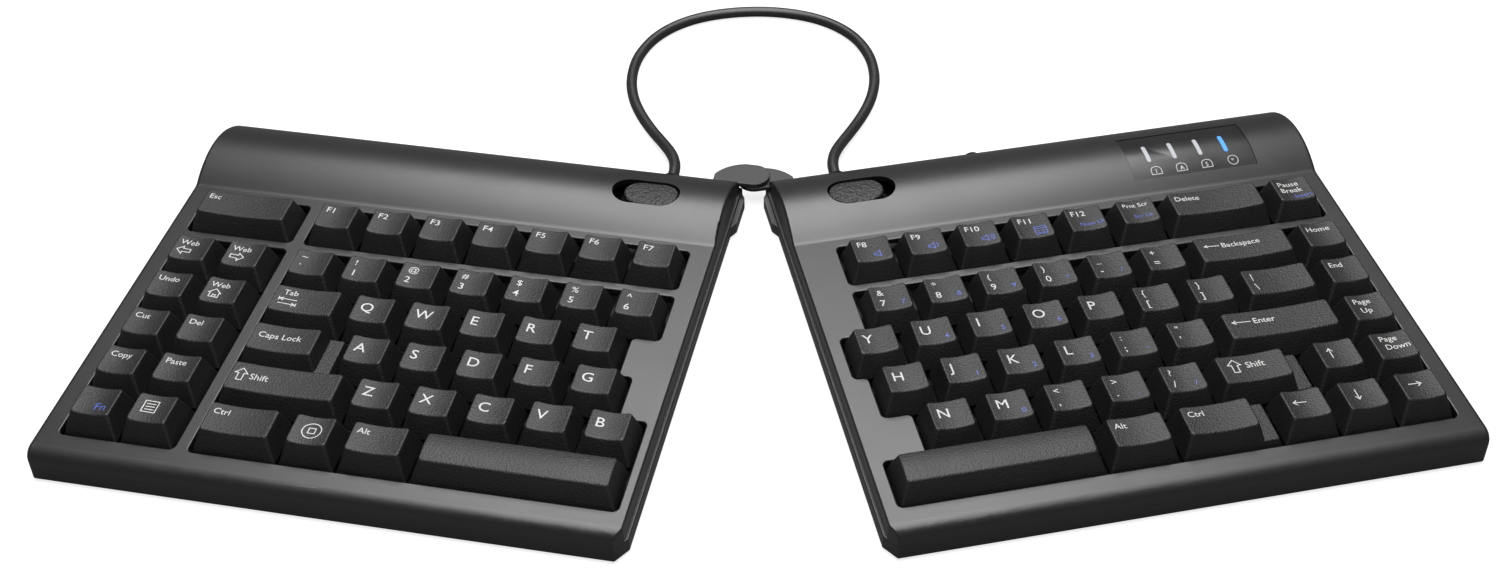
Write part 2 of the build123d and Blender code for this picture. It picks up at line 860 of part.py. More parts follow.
def make_window(module):
    """The indicator panel: a thin plate in the pocket, with a slot for each light bar."""
    with BuildPart() as window:
        with BuildSketch(module.plane.offset(deck_z)):
            with Locations((panel_x, panel_y)):
                Rectangle(panel_length - 2 * panel_clearance, panel_width - 2 * panel_clearance)
            with Locations(*bar_spots()):
                SlotOverall(
                    bar_length + 2 * bar_clearance,
                    bar_width + 2 * bar_clearance,
                    rotation=90,
                    mode=Mode.SUBTRACT,
                )
        extrude(amount=hump_top_z - deck_z + wall)
        add(module_form(module, panel_recess - panel_skin), mode=Mode.INTERSECT)
        add(module_form(module, panel_recess), mode=Mode.SUBTRACT)
    return window


def make_light_bars(module):
    pipe_z = board_z + board_thickness + led_height + led_gap
    with BuildPart() as bars:
        with BuildSketch(module.plane.offset(pipe_z)):
            with Locations(*bar_spots()):
                SlotOverall(bar_length, bar_width, rotation=90)
        extrude(amount=hump_top_z - pipe_z)
        add(module_form(module, panel_recess - panel_skin - bar_proud), mode=Mode.INTERSECT)
    return bars


def make_arm(module, arm_z):
    """A tether arm: a disc on the pin that widens to the rear wall, and a tongue that the prong locks."""
    pin_x = module.inside(-pin_gap)
    outer_side = tongue_inset + tongue_width / 2
    with BuildPart() as wall_beside:
        add(module_form(module))
        with BuildSketch(module.plane.offset(base_z)):
            draw_tongue(module, tongue_front_y, rear_y + wall)
        extrude(amount=hump_top_z, mode=Mode.SUBTRACT)
    with BuildPart() as arm:
        with BuildSketch(module.plane.offset(arm_z)):
            with Locations((pin_x - module.sense * arm_back, pin_y - arm_drop)):
                Circle(arm_radius)
            with Locations((pin_x - module.sense * arm_radius / 2, pin_y)):
                Rectangle(arm_radius, 2 * disc_radius, mode=Mode.INTERSECT)
            with Locations((pin_x, pin_y)):
                Circle(disc_radius)
        extrude(amount=arm_thickness)
        fillet(arm.faces().filter_by(Axis.Z).edges(), arm_edge)
        add(wall_beside.part, mode=Mode.SUBTRACT)
        with BuildSketch(module.plane.offset(tongue_foot_z)):
            draw_tongue(module, tongue_front_y, hump_rear_y(tongue_top_z))
        extrude(amount=tongue_top_z - tongue_foot_z)
        with BuildSketch(module.plane.offset(flange_z - notch_clearance)):
            with Locations((module.inside(outer_side), prong_y)):
                Rectangle(2 * (prong_reach + notch_clearance), prong_tip_width + 2 * notch_clearance)
        extrude(amount=flange_thickness + 2 * notch_clearance, mode=Mode.SUBTRACT)
    return arm


def make_shells(module):
    finish(make_top_shell(module), f"{module.name}_top_shell")
    finish(make_bottom_shell(module), f"{module.name}_bottom_shell")
    finish(make_screws(module), f"{module.name}_screws")
    finish(make_feet(module), f"{module.name}_feet")


def make_stack(module):
    finish(make_backing_plate(module), f"{module.name}_backing_plate")
    finish(make_membrane(module), f"{module.name}_membrane")
    finish(make_dome_sheet(module), f"{module.name}_dome_sheet")
    finish(make_guide_plate(module), f"{module.name}_guide_plate")
    finish(make_wires(module), f"{module.name}_stabiliser_wires")


# Shells, switch stack, keys and release of each module
for module in modules:
    make_shells(module)
    make_stack(module)
    for key_name, keys in module.keys.items():
        finish(make_keys(module, keys), key_name)
    finish(make_release_button(module), f"{module.name}_release_button")
    finish(make_spring(module), f"{module.name}_release_spring")
    finish(make_gland(module, module.inside(cord_inset)), f"{module.name}_cord_gland")

# Boards, indicator panel and computer lead's gland
finish(make_board(left), "interface_board")
finish(make_board(right), "controller_board")
finish(make_window(right), "indicator_window")
finish(make_light_bars(right), "indicator_light_bars")
finish(make_gland(right, usb_x, bored=True), "computer_lead_gland")

# Tether: the left arm's disc lies over the right arm's, and the pin stands in the right arm
with BuildPart() as left_arm:
    add(make_arm(left, upper_arm_z).part)
    with BuildSketch(Plane.XY.offset(upper_arm_z)):
        with Locations((0, pivot_y)):
            Circle(pin_radius + pin_clearance)
    extrude(amount=bore_top_z - upper_arm_z, mode=Mode.SUBTRACT)
finish(left_arm, "tether_left_arm")

with BuildPart() as right_arm:
    add(make_arm(right, lower_arm_z).part)
    with BuildSketch(Plane.XY.offset(lower_arm_z)):
        with Locations((0, pivot_y)):
            Circle(pin_radius)
    extrude(amount=arm_thickness, mode=Mode.SUBTRACT)
finish(right_arm, "tether_right_arm")

with BuildPart() as pin:
    with BuildSketch(Plane.XY.offset(lower_arm_z)):
        with Locations((0, pivot_y)):
            Circle(pin_radius)
    extrude(amount=bore_top_z - pin_clearance - lower_arm_z)
finish(pin, "tether_pin")


# Link cord: out of the left gland, round behind the tether on the desk, and into the right gland
def gland_tip(module):
    return module.at(module.inside(cord_inset), rear_y + gland_length, cord_exit_z)


cord_floor_z = cord_radius + 0.1
cord_stub = 3.6               # straight out of each gland
cord_points = [
    gland_tip(left),
    gland_tip(left) + left.plane.y_dir * cord_stub,
    Vector(-29.15, 81.56, 5.5),
    Vector(-29.5, 86.06, 5.2),
    Vector(-30.85, 91.06, 4.7),
    Vector(-33.4, 97.26, 3.8),
    Vector(-38.9, 108.46, 2.5),
    Vector(-43.6, 119.26, cord_floor_z),
    Vector(-47.0, 130.46, cord_floor_z),
    Vector(-48.2, 143.66, cord_floor_z),
    Vector(-46.0, 158.46, cord_floor_z),
    Vector(-38.6, 172.96, cord_floor_z),
    Vector(-25.9, 183.46, cord_floor_z),
    Vector(-9.0, 188.46, cord_floor_z),
    Vector(9.6, 188.46, cord_floor_z),
    Vector(26.9, 182.96, cord_floor_z),
    Vector(39.4, 172.06, cord_floor_z),
    Vector(46.0, 157.96, cord_floor_z),
    Vector(47.8, 143.46, cord_floor_z),
    Vector(46.4, 130.66, cord_floor_z),
    Vector(43.0, 119.46, cord_floor_z),
    Vector(38.2, 108.66, 2.5),
    Vector(33.0, 97.46, 3.8),
    Vector(30.5, 91.06, 4.7),
    Vector(29.35, 86.06, 5.2),
    Vector(29.1, 81.56, 5.5),
    gland_tip(right) + right.plane.y_dir * cord_stub,
    gland_tip(right),
]


def corner_radii(points):
    """The largest arc that each corner's two runs allow."""
    radii = []
    for before, corner, after in zip(points, points[1:], points[2:]):
        half_turn = radians((corner - before).get_angle(after - corner)) / 2
        shorter = min((corner - before).length, (after - corner).length)
        radii.append(0.45 * shorter / tan(half_turn))
    return radii


cord_radii = corner_radii(cord_points)
with BuildPart() as cord:
    with BuildLine() as route:
        FilletPolyline(*cord_points, radius=cord_radii)
    with BuildSketch(Plane(origin=cord_points[0], z_dir=cord_points[1] - cord_points[0])):
        Circle(cord_radius)
    sweep(path=route.wire())
finish(cord, "link_cord")

cord_length = route.wire().length
print("cord radii", [round(radius, 1) for radius in cord_radii])
print("cord length", round(cord_length, 1))
print("cord volume share", round(cord.part.volume / (pi * cord_radius**2 * cord_length), 4))
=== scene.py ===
# %% [markdown]
# # A split keyboard in two modules
#
# The keyboard is two flat modules of satin black plastic that splay about a pin behind them, with a cord
# looping from one to the other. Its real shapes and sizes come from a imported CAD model, which the first
# cell loads. The cells after it add what CAD is poor at: softly rounded key caps, printed legends,
# plastic grain, studio light and the camera.

import math

import bmesh
import bpy
from mathutils import Matrix, Vector


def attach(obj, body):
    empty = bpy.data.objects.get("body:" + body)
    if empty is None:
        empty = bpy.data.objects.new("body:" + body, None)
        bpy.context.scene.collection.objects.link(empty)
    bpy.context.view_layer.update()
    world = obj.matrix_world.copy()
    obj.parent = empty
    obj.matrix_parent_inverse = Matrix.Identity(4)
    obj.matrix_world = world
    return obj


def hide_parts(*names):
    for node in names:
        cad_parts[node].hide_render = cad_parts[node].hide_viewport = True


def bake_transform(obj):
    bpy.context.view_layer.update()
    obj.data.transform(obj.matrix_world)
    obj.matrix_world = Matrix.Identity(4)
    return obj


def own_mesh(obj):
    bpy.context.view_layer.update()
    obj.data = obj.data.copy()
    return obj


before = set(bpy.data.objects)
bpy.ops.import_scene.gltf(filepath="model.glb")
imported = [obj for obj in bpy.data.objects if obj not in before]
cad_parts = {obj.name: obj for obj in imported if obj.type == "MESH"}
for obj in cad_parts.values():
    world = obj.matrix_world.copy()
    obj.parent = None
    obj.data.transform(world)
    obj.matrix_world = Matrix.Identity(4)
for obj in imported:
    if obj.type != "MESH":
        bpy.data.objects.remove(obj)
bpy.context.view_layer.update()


def add_object(name, data):
    """A new object in the scene."""
    thing = bpy.data.objects.new(name, data)
    bpy.context.collection.objects.link(thing)
    return thing


# %% [markdown]
# ## Camera
#
# The photograph was matched by fitting a camera to the corners of forty key tops. The fit gives a place,
# a direction and a focal length, and a camera's matrix can be written straight from them: its columns
# are the directions to its right, up and backwards, and its position.

# %% Set the camera at the photograph's viewpoint
CAMERA_PLACE = Vector((0.00446, -0.51758, 0.4737))
CAMERA_YAW = 0.0113        # towards -X, radians
CAMERA_PITCH = 0.721       # below the horizon
CAMERA_ROLL = -0.0196
SENSOR_WIDTH = 36.0
PHOTO_WIDTH = 1500
FOCAL_PIXELS = 2054.3

across = Vector((math.cos(CAMERA_YAW), math.sin(CAMERA_YAW), 0))
ahead = Vector((-math.sin(CAMERA_YAW), math.cos(CAMERA_YAW), 0))
forward = ahead * math.cos(CAMERA_PITCH) - Vector((0, 0, math.sin(CAMERA_PITCH)))
upward = ahead * math.sin(CAMERA_PITCH) + Vector((0, 0, math.cos(CAMERA_PITCH)))
right_side = across * math.cos(CAMERA_ROLL) + upward * math.sin(CAMERA_ROLL)
top_side = upward * math.cos(CAMERA_ROLL) - across * math.sin(CAMERA_ROLL)

camera = add_object("camera", bpy.data.cameras.new("camera"))
camera.data.sensor_width = SENSOR_WIDTH
camera.data.lens = SENSOR_WIDTH * FOCAL_PIXELS / PHOTO_WIDTH
turned = Matrix((right_side, top_side, -forward)).transposed()
camera.matrix_world = Matrix.Translation(CAMERA_PLACE) @ turned.to_4x4()
bpy.context.scene.camera = camera
print("lens", round(camera.data.lens, 2), "mm")

# %% [markdown]
# ## Two module frames
#
# Every key row is straight in its own module, so it is easier to think in a module's own plane and turn
# the result into place. Lengths here are millimetres, as on a drawing, with x along the rows from the
# main block's left edge and y to the rear from the number row's centre.

# %% Place the two modules' own planes
MM = 0.001
PITCH = 19.05              # one key unit
SPLAY = math.radians(11.43)    # each module's own turn
PIN_GAP = 4.58             # from a module's inner wall to the tether pin
PIN_Y = 85.9
PIVOT_Y = 70.465           # the pin's place in the scene
REAR_Y = 82.5              # outside of the rear wall
INNER_X = {"left": 141.7, "right": -14.7}    # outside of the inner walls
SENSE = {"left": 1, "right": -1}             # towards the inner wall


def module_matrix(side):
    """From a module's own millimetres to the scene's metres."""
    turn = Matrix.Rotation(-SENSE[side] * SPLAY, 4, "Z")
    pin = Matrix.Translation((-INNER_X[side] - SENSE[side] * PIN_GAP, -PIN_Y, 0))
    return Matrix.Scale(MM, 4) @ Matrix.Translation((0, PIVOT_Y, 0)) @ turn @ pin


PLACE = {side: module_matrix(side) for side in ("left", "right")}
for side, matrix in PLACE.items():
    print(side, "origin in mm", [round(value / MM, 1) for value in matrix.translation])

# %% [markdown]
# ## Link cord
#
# The cord leaves a grommet in each rear wall, sags to the desk and lies there in one wide loop. A NURBS
# curve through a handful of control points bends as evenly as real cable does, which a chain
# of arcs can't. Its order and end setting follow the points, because Blender drops them if they come
# first. Each point's own radius gives the thickness, so the bevel depth is 1.
#
# One end belongs to each module, so the cord has to flex when they splay. Here it is one mesh tube,
# which isn't attached to either module.

# %% Lay the link cord
CORD_RADIUS = 2.1
CORD_INSET = 25.7          # from the inner wall to a grommet's axis
GLAND_LENGTH = 0.6         # that a grommet stands out of the rear wall
CORD_STUB = 3.6            # straight out of each grommet
CORD_Z = 5.6               # height of a grommet's axis
DESK_Z = 2.2               # height of the cord's middle on the desk
CORD_STEPS = 16            # points for each control point
CORD_SIDES = 6             # more make the tube rounder


def gland_point(side, beyond=0.0):
    """A point on the axis of a module's cord grommet, in millimetres of the scene."""
    x = INNER_X[side] - SENSE[side] * CORD_INSET
    return PLACE[side] @ Vector((x, REAR_Y + GLAND_LENGTH + beyond, CORD_Z)) / MM


cord_route = [
    gland_point("left"), gland_point("left", CORD_STUB),
    (-29.15, 81.56, 5.5), (-29.5, 86.06, 5.2), (-30.85, 91.06, 4.7), (-33.4, 97.26, 3.8),
    (-38.9, 108.46, 2.5), (-43.6, 119.26, DESK_Z), (-47.0, 130.46, DESK_Z), (-48.2, 143.66, DESK_Z),
    (-46.0, 158.46, DESK_Z), (-38.6, 172.96, DESK_Z), (-25.9, 183.46, DESK_Z), (-9.0, 188.46, DESK_Z),
    (9.6, 188.46, DESK_Z), (26.9, 182.96, DESK_Z), (39.4, 172.06, DESK_Z), (46.0, 157.96, DESK_Z),
    (47.8, 143.46, DESK_Z), (46.4, 130.66, DESK_Z), (43.0, 119.46, DESK_Z), (38.2, 108.66, 2.5),
    (33.0, 97.46, 3.8), (30.5, 91.06, 4.7), (29.35, 86.06, 5.2), (29.1, 81.56, 5.5),
    gland_point("right", CORD_STUB), gland_point("right"),
]
cord_curve = bpy.data.curves.new("cord_line", "CURVE")
cord_curve.dimensions = "3D"
cord_curve.resolution_u = CORD_STEPS
cord_curve.bevel_resolution = CORD_SIDES
cord_curve.use_fill_caps = True
spline = cord_curve.splines.new("NURBS")
spline.points.add(len(cord_route) - 1)
for point, place in zip(spline.points, cord_route):
    point.co = (*(Vector(place) * MM), 1)
    point.radius = CORD_RADIUS * MM
spline.order_u = 3
spline.use_endpoint_u = True

# Without a bevel the curve gives the cord's middle line, and with one its tube
cord_line = bpy.data.objects.new("cord_line", cord_curve)
line_mesh = bpy.data.meshes.new_from_object(cord_line)
line_points = [tuple(vertex.co) for vertex in line_mesh.vertices]
bpy.data.meshes.remove(line_mesh)
cord_curve.bevel_depth = 1.0
tube_mesh = bpy.data.meshes.new_from_object(cord_line)
tube_mesh.name = "cord_loop"
bpy.data.objects.remove(cord_line)
cord = add_object("cord_loop", tube_mesh)
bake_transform(cord)
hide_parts("link_cord")
cord_length = sum((Vector(b) - Vector(a)).length for a, b in zip(line_points, line_points[1:]))
print("cord", round(cord_length, 4), "m long,", len(tube_mesh.vertices), "vertices")

# %% [markdown]
# ## Effects that several finishes share
#
# Moulded plastic is never one flat colour. Spark erosion leaves a fine grain in the mould, and hands
# polish some places smoother than others. Both are shader node groups here, so each finish sets only
# its own grain size and roughness range.

# %% Build the groups
GRAIN_DETAIL = 3.0
PATCHES_PER_METRE = 55.0
PATCH_DETAIL = 4.0
NOISE_RANGE = (0.3, 0.7)   # where nearly all of a noise texture's values lie


def new_group(name, inputs, outputs):
    """A shader node group with float inputs (name, default) and float outputs."""
    group = bpy.data.node_groups.new(name, "ShaderNodeTree")
    for label, default in inputs:
        socket = group.interface.new_socket(name=label, in_out="INPUT", socket_type="NodeSocketFloat")
        socket.default_value = default
    for label in outputs:
        group.interface.new_socket(name=label, in_out="OUTPUT", socket_type="NodeSocketFloat")
    return group, group.nodes.new("NodeGroupInput"), group.nodes.new("NodeGroupOutput")


def feed(tree, node, **values):
    """Sets inputs by name, or links them to sockets. An underscore stands for a space."""
    for label, value in values.items():
        socket = node.inputs[label.replace("_", " ")]
        if isinstance(value, bpy.types.NodeSocket):
            tree.links.new(value, socket)
        else:
            socket.default_value = value


def add_noise(tree, scale, detail):
    """A noise texture in the object's own metres."""
    place = tree.nodes.new("ShaderNodeTexCoord")
    noise = tree.nodes.new("ShaderNodeTexNoise")
    feed(tree, noise, Vector=place.outputs["Object"], Scale=scale, Detail=detail)
    return noise.outputs["Fac"]


def spread(tree, value, low, high):
    """Stretches a noise value over low to high."""
    span = tree.nodes.new("ShaderNodeMapRange")
    bottom, top = NOISE_RANGE
    feed(tree, span, Value=value, From_Min=bottom, From_Max=top, To_Min=low, To_Max=high)
    return span.outputs["Result"]


grain_group, ins, outs = new_group("moulded_grain", [("Grain Per Metre", 4000.0)], ["Height"])
grain = add_noise(grain_group, ins.outputs["Grain Per Metre"], GRAIN_DETAIL)
feed(grain_group, outs, Height=grain)

wear_group, ins, outs = new_group(
    "handled_roughness", [("Smooth", 0.4), ("Rough", 0.5)], ["Roughness", "Tone"])
patches = add_noise(wear_group, PATCHES_PER_METRE, PATCH_DETAIL)
roughness = spread(wear_group, patches, ins.outputs["Smooth"], ins.outputs["Rough"])
feed(wear_group, outs, Roughness=roughness, Tone=spread(wear_group, patches, 0.0, 1.0))
print("groups:", [group.name for group in bpy.data.node_groups])

# %% [markdown]
# ## One recipe for the plain finishes
#
# Most pieces differ only in colour, roughness and grain, so one function writes the nodes: a tone that
# drifts slightly between two colours, a roughness from the handling group, and a bump from the grain.

# %% Write the finishes
def shader_of(name):
    """A new material, its node tree and its shader."""
    material = bpy.data.materials.new(name)
    material.use_nodes = True
    return material, material.node_tree, material.node_tree.nodes["Principled BSDF"]


def place_group(tree, group, **values):
    """Places a node group with its values."""
    node = tree.nodes.new("ShaderNodeGroup")
    node.node_tree = group
    feed(tree, node, **values)
    return node


def two_colours(tree, mask, first, second):
    """The first colour where the mask is 0, the second where it is 1."""
    mix = tree.nodes.new("ShaderNodeMix")
    mix.data_type = "RGBA"
    feed(tree, mix, A=(*first, 1), B=(*second, 1), Factor=mask)
    return mix.outputs["Result"]


def add_handling(tree, shader, smooth, rough):
    """Gives a shader the handled roughness, and returns the tone that goes with it."""
    wear = place_group(tree, wear_group, Smooth=smooth, Rough=rough)
    feed(tree, shader, Roughness=wear.outputs["Roughness"])
    return wear.outputs["Tone"]


def add_grain(tree, shader, grain_per_metre, grain_depth, strength):
    """Bumps a shader's normal with the grain, whose depth is in metres."""
    texture = place_group(tree, grain_group, Grain_Per_Metre=grain_per_metre)
    bump = tree.nodes.new("ShaderNodeBump")
    feed(tree, bump, Strength=strength, Distance=grain_depth, Height=texture.outputs["Height"])
    feed(tree, shader, Normal=bump.outputs["Normal"])


def make_finish(
    name, dark, light, smooth, rough, gloss=0.5, grain_per_metre=4000.0, grain_depth=0.00002, bump=0.3,
):
    """A finish that drifts between two colours and two roughnesses, with a fine grain."""
    material, tree, shader = shader_of(name)
    tone = add_handling(tree, shader, smooth, rough)
    feed(tree, shader, Specular_IOR_Level=gloss, Base_Color=two_colours(tree, tone, dark, light))
    add_grain(tree, shader, grain_per_metre, grain_depth, bump)
    return material


shell_finish = make_finish(
    "shell_satin", (0.006, 0.0062, 0.0064), (0.0075, 0.0075, 0.0078),
    smooth=0.34, rough=0.38, gloss=1.0, grain_per_metre=3500.0,
)
key_finish = make_finish(
    "key_matt", (0.004, 0.0041, 0.0043), (0.0055, 0.0055, 0.0058),
    smooth=0.47, rough=0.53, gloss=0.69, grain_per_metre=1500.0, grain_depth=0.00025, bump=0.8,
)
button_finish = make_finish(
    "button_grip", (0.007, 0.007, 0.007), (0.012, 0.012, 0.012),
    smooth=0.42, rough=0.5, gloss=0.7, grain_per_metre=850.0, grain_depth=0.0008, bump=1.0,
)
tether_finish = make_finish(
    "tether_matt", (0.018, 0.018, 0.019), (0.022, 0.022, 0.023),
    smooth=0.5, rough=0.6, gloss=0.8, grain_per_metre=3000.0,
)
cord_finish = make_finish(
    "cord_jacket", (0.008, 0.008, 0.008), (0.012, 0.012, 0.012),
    smooth=0.36, rough=0.44, gloss=0.8, grain_per_metre=2500.0,
)
rubber_finish = make_finish(
    "rubber_black", (0.01, 0.01, 0.01), (0.016, 0.016, 0.016),
    smooth=0.62, rough=0.75, grain_per_metre=1500.0,
)
guide_finish = make_finish(
    "guide_black", (0.005, 0.005, 0.005), (0.007, 0.007, 0.007), smooth=0.45, rough=0.55)
dome_finish = make_finish(
    "dome_silicone", (0.5, 0.5, 0.47), (0.58, 0.58, 0.55), smooth=0.45, rough=0.55, grain_per_metre=2000.0)
legend_finish = make_finish(
    "legend_white", (0.6, 0.6, 0.59), (0.66, 0.66, 0.65), smooth=0.45, rough=0.5)
legend_blue_finish = make_finish(
    "legend_blue", (0.075, 0.11, 0.42), (0.09, 0.13, 0.48), smooth=0.45, rough=0.5)
panel_finish = make_finish(
    "panel_gloss", (0.006, 0.006, 0.0065), (0.008, 0.008, 0.0085),
    smooth=0.22, rough=0.28, gloss=1.0, grain_per_metre=5000.0, bump=0.1,
)
print("finishes:", len(bpy.data.materials))

# %% [markdown]
# ## Finishes that need their own nodes
#
# Metal needs a metallic shader, the circuit boards carry dark chips on green, the membrane has printed
# tracks, and the last of the four light bars glows blue. The last three depend on a place on the piece,
# which the object's own coordinates give without any image.

# %% Write the special finishes
CHIP_Z = 0.0077            # metres; above this a board shows its chips
TRACK_SCALE = 90.0
TRACK_WAVER = 2.0
TRACK_LEVEL = 0.75         # the share of a wave between two tracks
BAR_GAP = (143.5, 57.0)    # between the third light bar and the last
GLOW = 0.5


def axis_value(tree, direction):
    """How far along a direction each point lies, in metres."""
    place = tree.nodes.new("ShaderNodeTexCoord")
    along = tree.nodes.new("ShaderNodeVectorMath")
    along.operation = "DOT_PRODUCT"
    along.inputs[1].default_value = direction
    tree.links.new(place.outputs["Object"], along.inputs[0])
    return along.outputs["Value"]


def step_at(tree, value, threshold):
    """1 where a value is above the threshold, else 0."""
    step = tree.nodes.new("ShaderNodeMath")
    step.operation = "GREATER_THAN"
    step.inputs[1].default_value = threshold
    tree.links.new(value, step.inputs[0])
    return step.outputs["Value"]


def make_steel():
    """Bare metal, smoother where it was handled."""
    material, tree, shader = shader_of("steel_plain")
    tone = add_handling(tree, shader, smooth=0.25, rough=0.4)
    paint = two_colours(tree, tone, (0.5, 0.5, 0.51), (0.6, 0.6, 0.61))
    feed(tree, shader, Metallic=1.0, Base_Color=paint)
    return material


def make_board_finish():
    """Solder mask below, dark chips above."""
    material, tree, shader = shader_of("board_green")
    chips = step_at(tree, axis_value(tree, (0, 0, 1)), CHIP_Z)
    feed(tree, shader, Base_Color=two_colours(tree, chips, (0.01, 0.11, 0.04), (0.012, 0.012, 0.013)))
    add_handling(tree, shader, smooth=0.3, rough=0.4)
    return material


def make_membrane_finish():
    """Greenish film with wavering silver tracks."""
    material, tree, shader = shader_of("membrane_film")
    tracks = tree.nodes.new("ShaderNodeTexWave")
    place = tree.nodes.new("ShaderNodeTexCoord")
    feed(tree, tracks, Vector=place.outputs["Object"], Scale=TRACK_SCALE, Distortion=TRACK_WAVER)
    lines = step_at(tree, tracks.outputs["Fac"], TRACK_LEVEL)
    feed(tree, shader, Base_Color=two_colours(tree, lines, (0.35, 0.42, 0.36), (0.5, 0.5, 0.5)))
    add_handling(tree, shader, smooth=0.2, rough=0.3)
    return material


def make_light_bar_finish():
    """Three unlit bars in frosted plastic, and the outermost one glowing blue."""
    material, tree, shader = shader_of("light_bar")
    along_rows = PLACE["right"].to_3x3() @ Vector((1, 0, 0)) / MM
    last_gap = PLACE["right"] @ Vector((*BAR_GAP, 0))
    lit = step_at(tree, axis_value(tree, along_rows), last_gap.dot(along_rows))
    paint = two_colours(tree, lit, (0.5, 0.51, 0.54), (0.08, 0.3, 0.85))
    light = two_colours(tree, lit, (0, 0, 0), (0.05, 0.3, 0.95))
    feed(tree, shader, Base_Color=paint, Emission_Color=light, Emission_Strength=GLOW)
    add_handling(tree, shader, smooth=0.3, rough=0.4)
    return material


steel_finish = make_steel()
board_finish = make_board_finish()
membrane_finish = make_membrane_finish()
bar_finish = make_light_bar_finish()
print("finishes:", len(bpy.data.materials))

# %% [markdown]
# ## Dress the CAD nodes
#
# The shells, the stack of plates under the keys, screws, feet and boards already have their real shape,
# so they stay as CAD nodes and only get a finish. The nodes that a piece replaces aren't shown.

# %% Give each carried-over node its finish
dressed = []


def dress(node, finish):
    """Gives every slot of a CAD node this finish."""
    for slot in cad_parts[node].material_slots:
        slot.material = finish
    dressed.append(node)


for side in ("left", "right"):
    for piece, finish in (
        ("top_shell", shell_finish), ("bottom_shell", shell_finish), ("guide_plate", guide_finish),
        ("membrane", membrane_finish), ("backing_plate", steel_finish), ("stabiliser_wires", steel_finish),
        ("screws", steel_finish), ("feet", rubber_finish), ("cord_gland", rubber_finish),
    ):
        dress(f"{side}_{piece}", finish)
    dress(f"tether_{side}_arm", tether_finish)
dress("tether_pin", steel_finish)
dress("computer_lead_gland", rubber_finish)
dress("indicator_window", panel_finish)
dress("indicator_light_bars", bar_finish)
dress("controller_board", board_finish)
dress("interface_board", board_finish)
cord.data.materials.append(cord_finish)
print("nodes with a finish:", len(dressed), "of", len(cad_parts))

# %% [markdown]
# ## Key caps
#
# A key cap is a hollow truncated pyramid with soft corners, a rim rounded by polishing, and a dish that
# seats the fingertip. CAD gives its planes, but not that softness. Here a cap is a stack of closed rings
# of points, bridged with quads: up the outer wall, round the rim and inwards over the dish, and down
# again inside the hollow. Extra rings beside the rim keep the flat walls flat when they are shaded smooth.

# %% Draw one ring of a cap
CORNER_STEPS = 5
LONG_STEPS = 8             # along a front or rear side
SHORT_STEPS = 4


def draw_ring(half_x, half_y, radius):
    """Points round a rectangle with rounded corners, in a fixed order and number."""
    points = []
    inner_x, inner_y = half_x - radius, half_y - radius
    corners = (((1, 1), 0), ((-1, 1), 90), ((-1, -1), 180), ((1, -1), 270))
    for (sign_x, sign_y), start in corners:
        for i in range(CORNER_STEPS + 1):
            angle = math.radians(start + 90 * i / CORNER_STEPS)
            x, y = radius * math.cos(angle), radius * math.sin(angle)
            points.append((sign_x * inner_x + x, sign_y * inner_y + y))
        if start in (0, 180):
            steps, end_x, end_y = LONG_STEPS, -sign_x * inner_x, sign_y * half_y
        else:
            steps, end_x, end_y = SHORT_STEPS, sign_x * half_x, -sign_y * inner_y
        last_x, last_y = points[-1]
        for i in range(1, steps):
            points.append((last_x + (end_x - last_x) * i / steps, last_y + (end_y - last_y) * i / steps))
    return points


print("points in a ring:", len(draw_ring(9, 9, 1)))

# %% Build a cap from rings
CAP_GAP = 1.05
TAPER_X = 5.25             # how much narrower the top is than the skirt
TAPER_Y = 6.0
SKIRT_Z = 11.0
SKIRT_EDGE = 0.4
MIDDLE_Z = 15.5
TOP_Z = 20.0
DISH = 0.85
WALL_DISH = 0.9            # share of the dish that the wall has below the rim
CROWN_RADIUS = 20.0        # of a space bar's rounded top
RIM = 0.5
RIM_STEPS = 5
SKIRT_ROUND = 0.8
TOP_ROUND = 1.3
LEAST_ROUND = 0.3
LEAST_TOP_ROUND = 0.1
TOP_SHARES = (0.93, 0.75, 0.5, 0.25, 0.05)   # sizes of the rings on the top
LEAN = 0.4                 # the top sits a little to the rear of the skirt
WALL = 1.3
ROOF = 1.9
STEM_SIDE = 6
STEM_Z = 8.8
STEPPED_UNITS = 1.75
SPACE_UNITS = 3.5
SHELF_WIDTH = 4.8
SHELF_Z = 14.2
SHELF_LAP = 4              # under the raised part
SHELF_ROUND = 0.8
SHELF_GAP = 0.03           # keeps its sides off the raised part's
SHELF_RINGS = ((SKIRT_Z, 0), (SHELF_Z - 0.4, 0), (SHELF_Z - 0.1, 0.1), (SHELF_Z, 0.4))    # height, inset


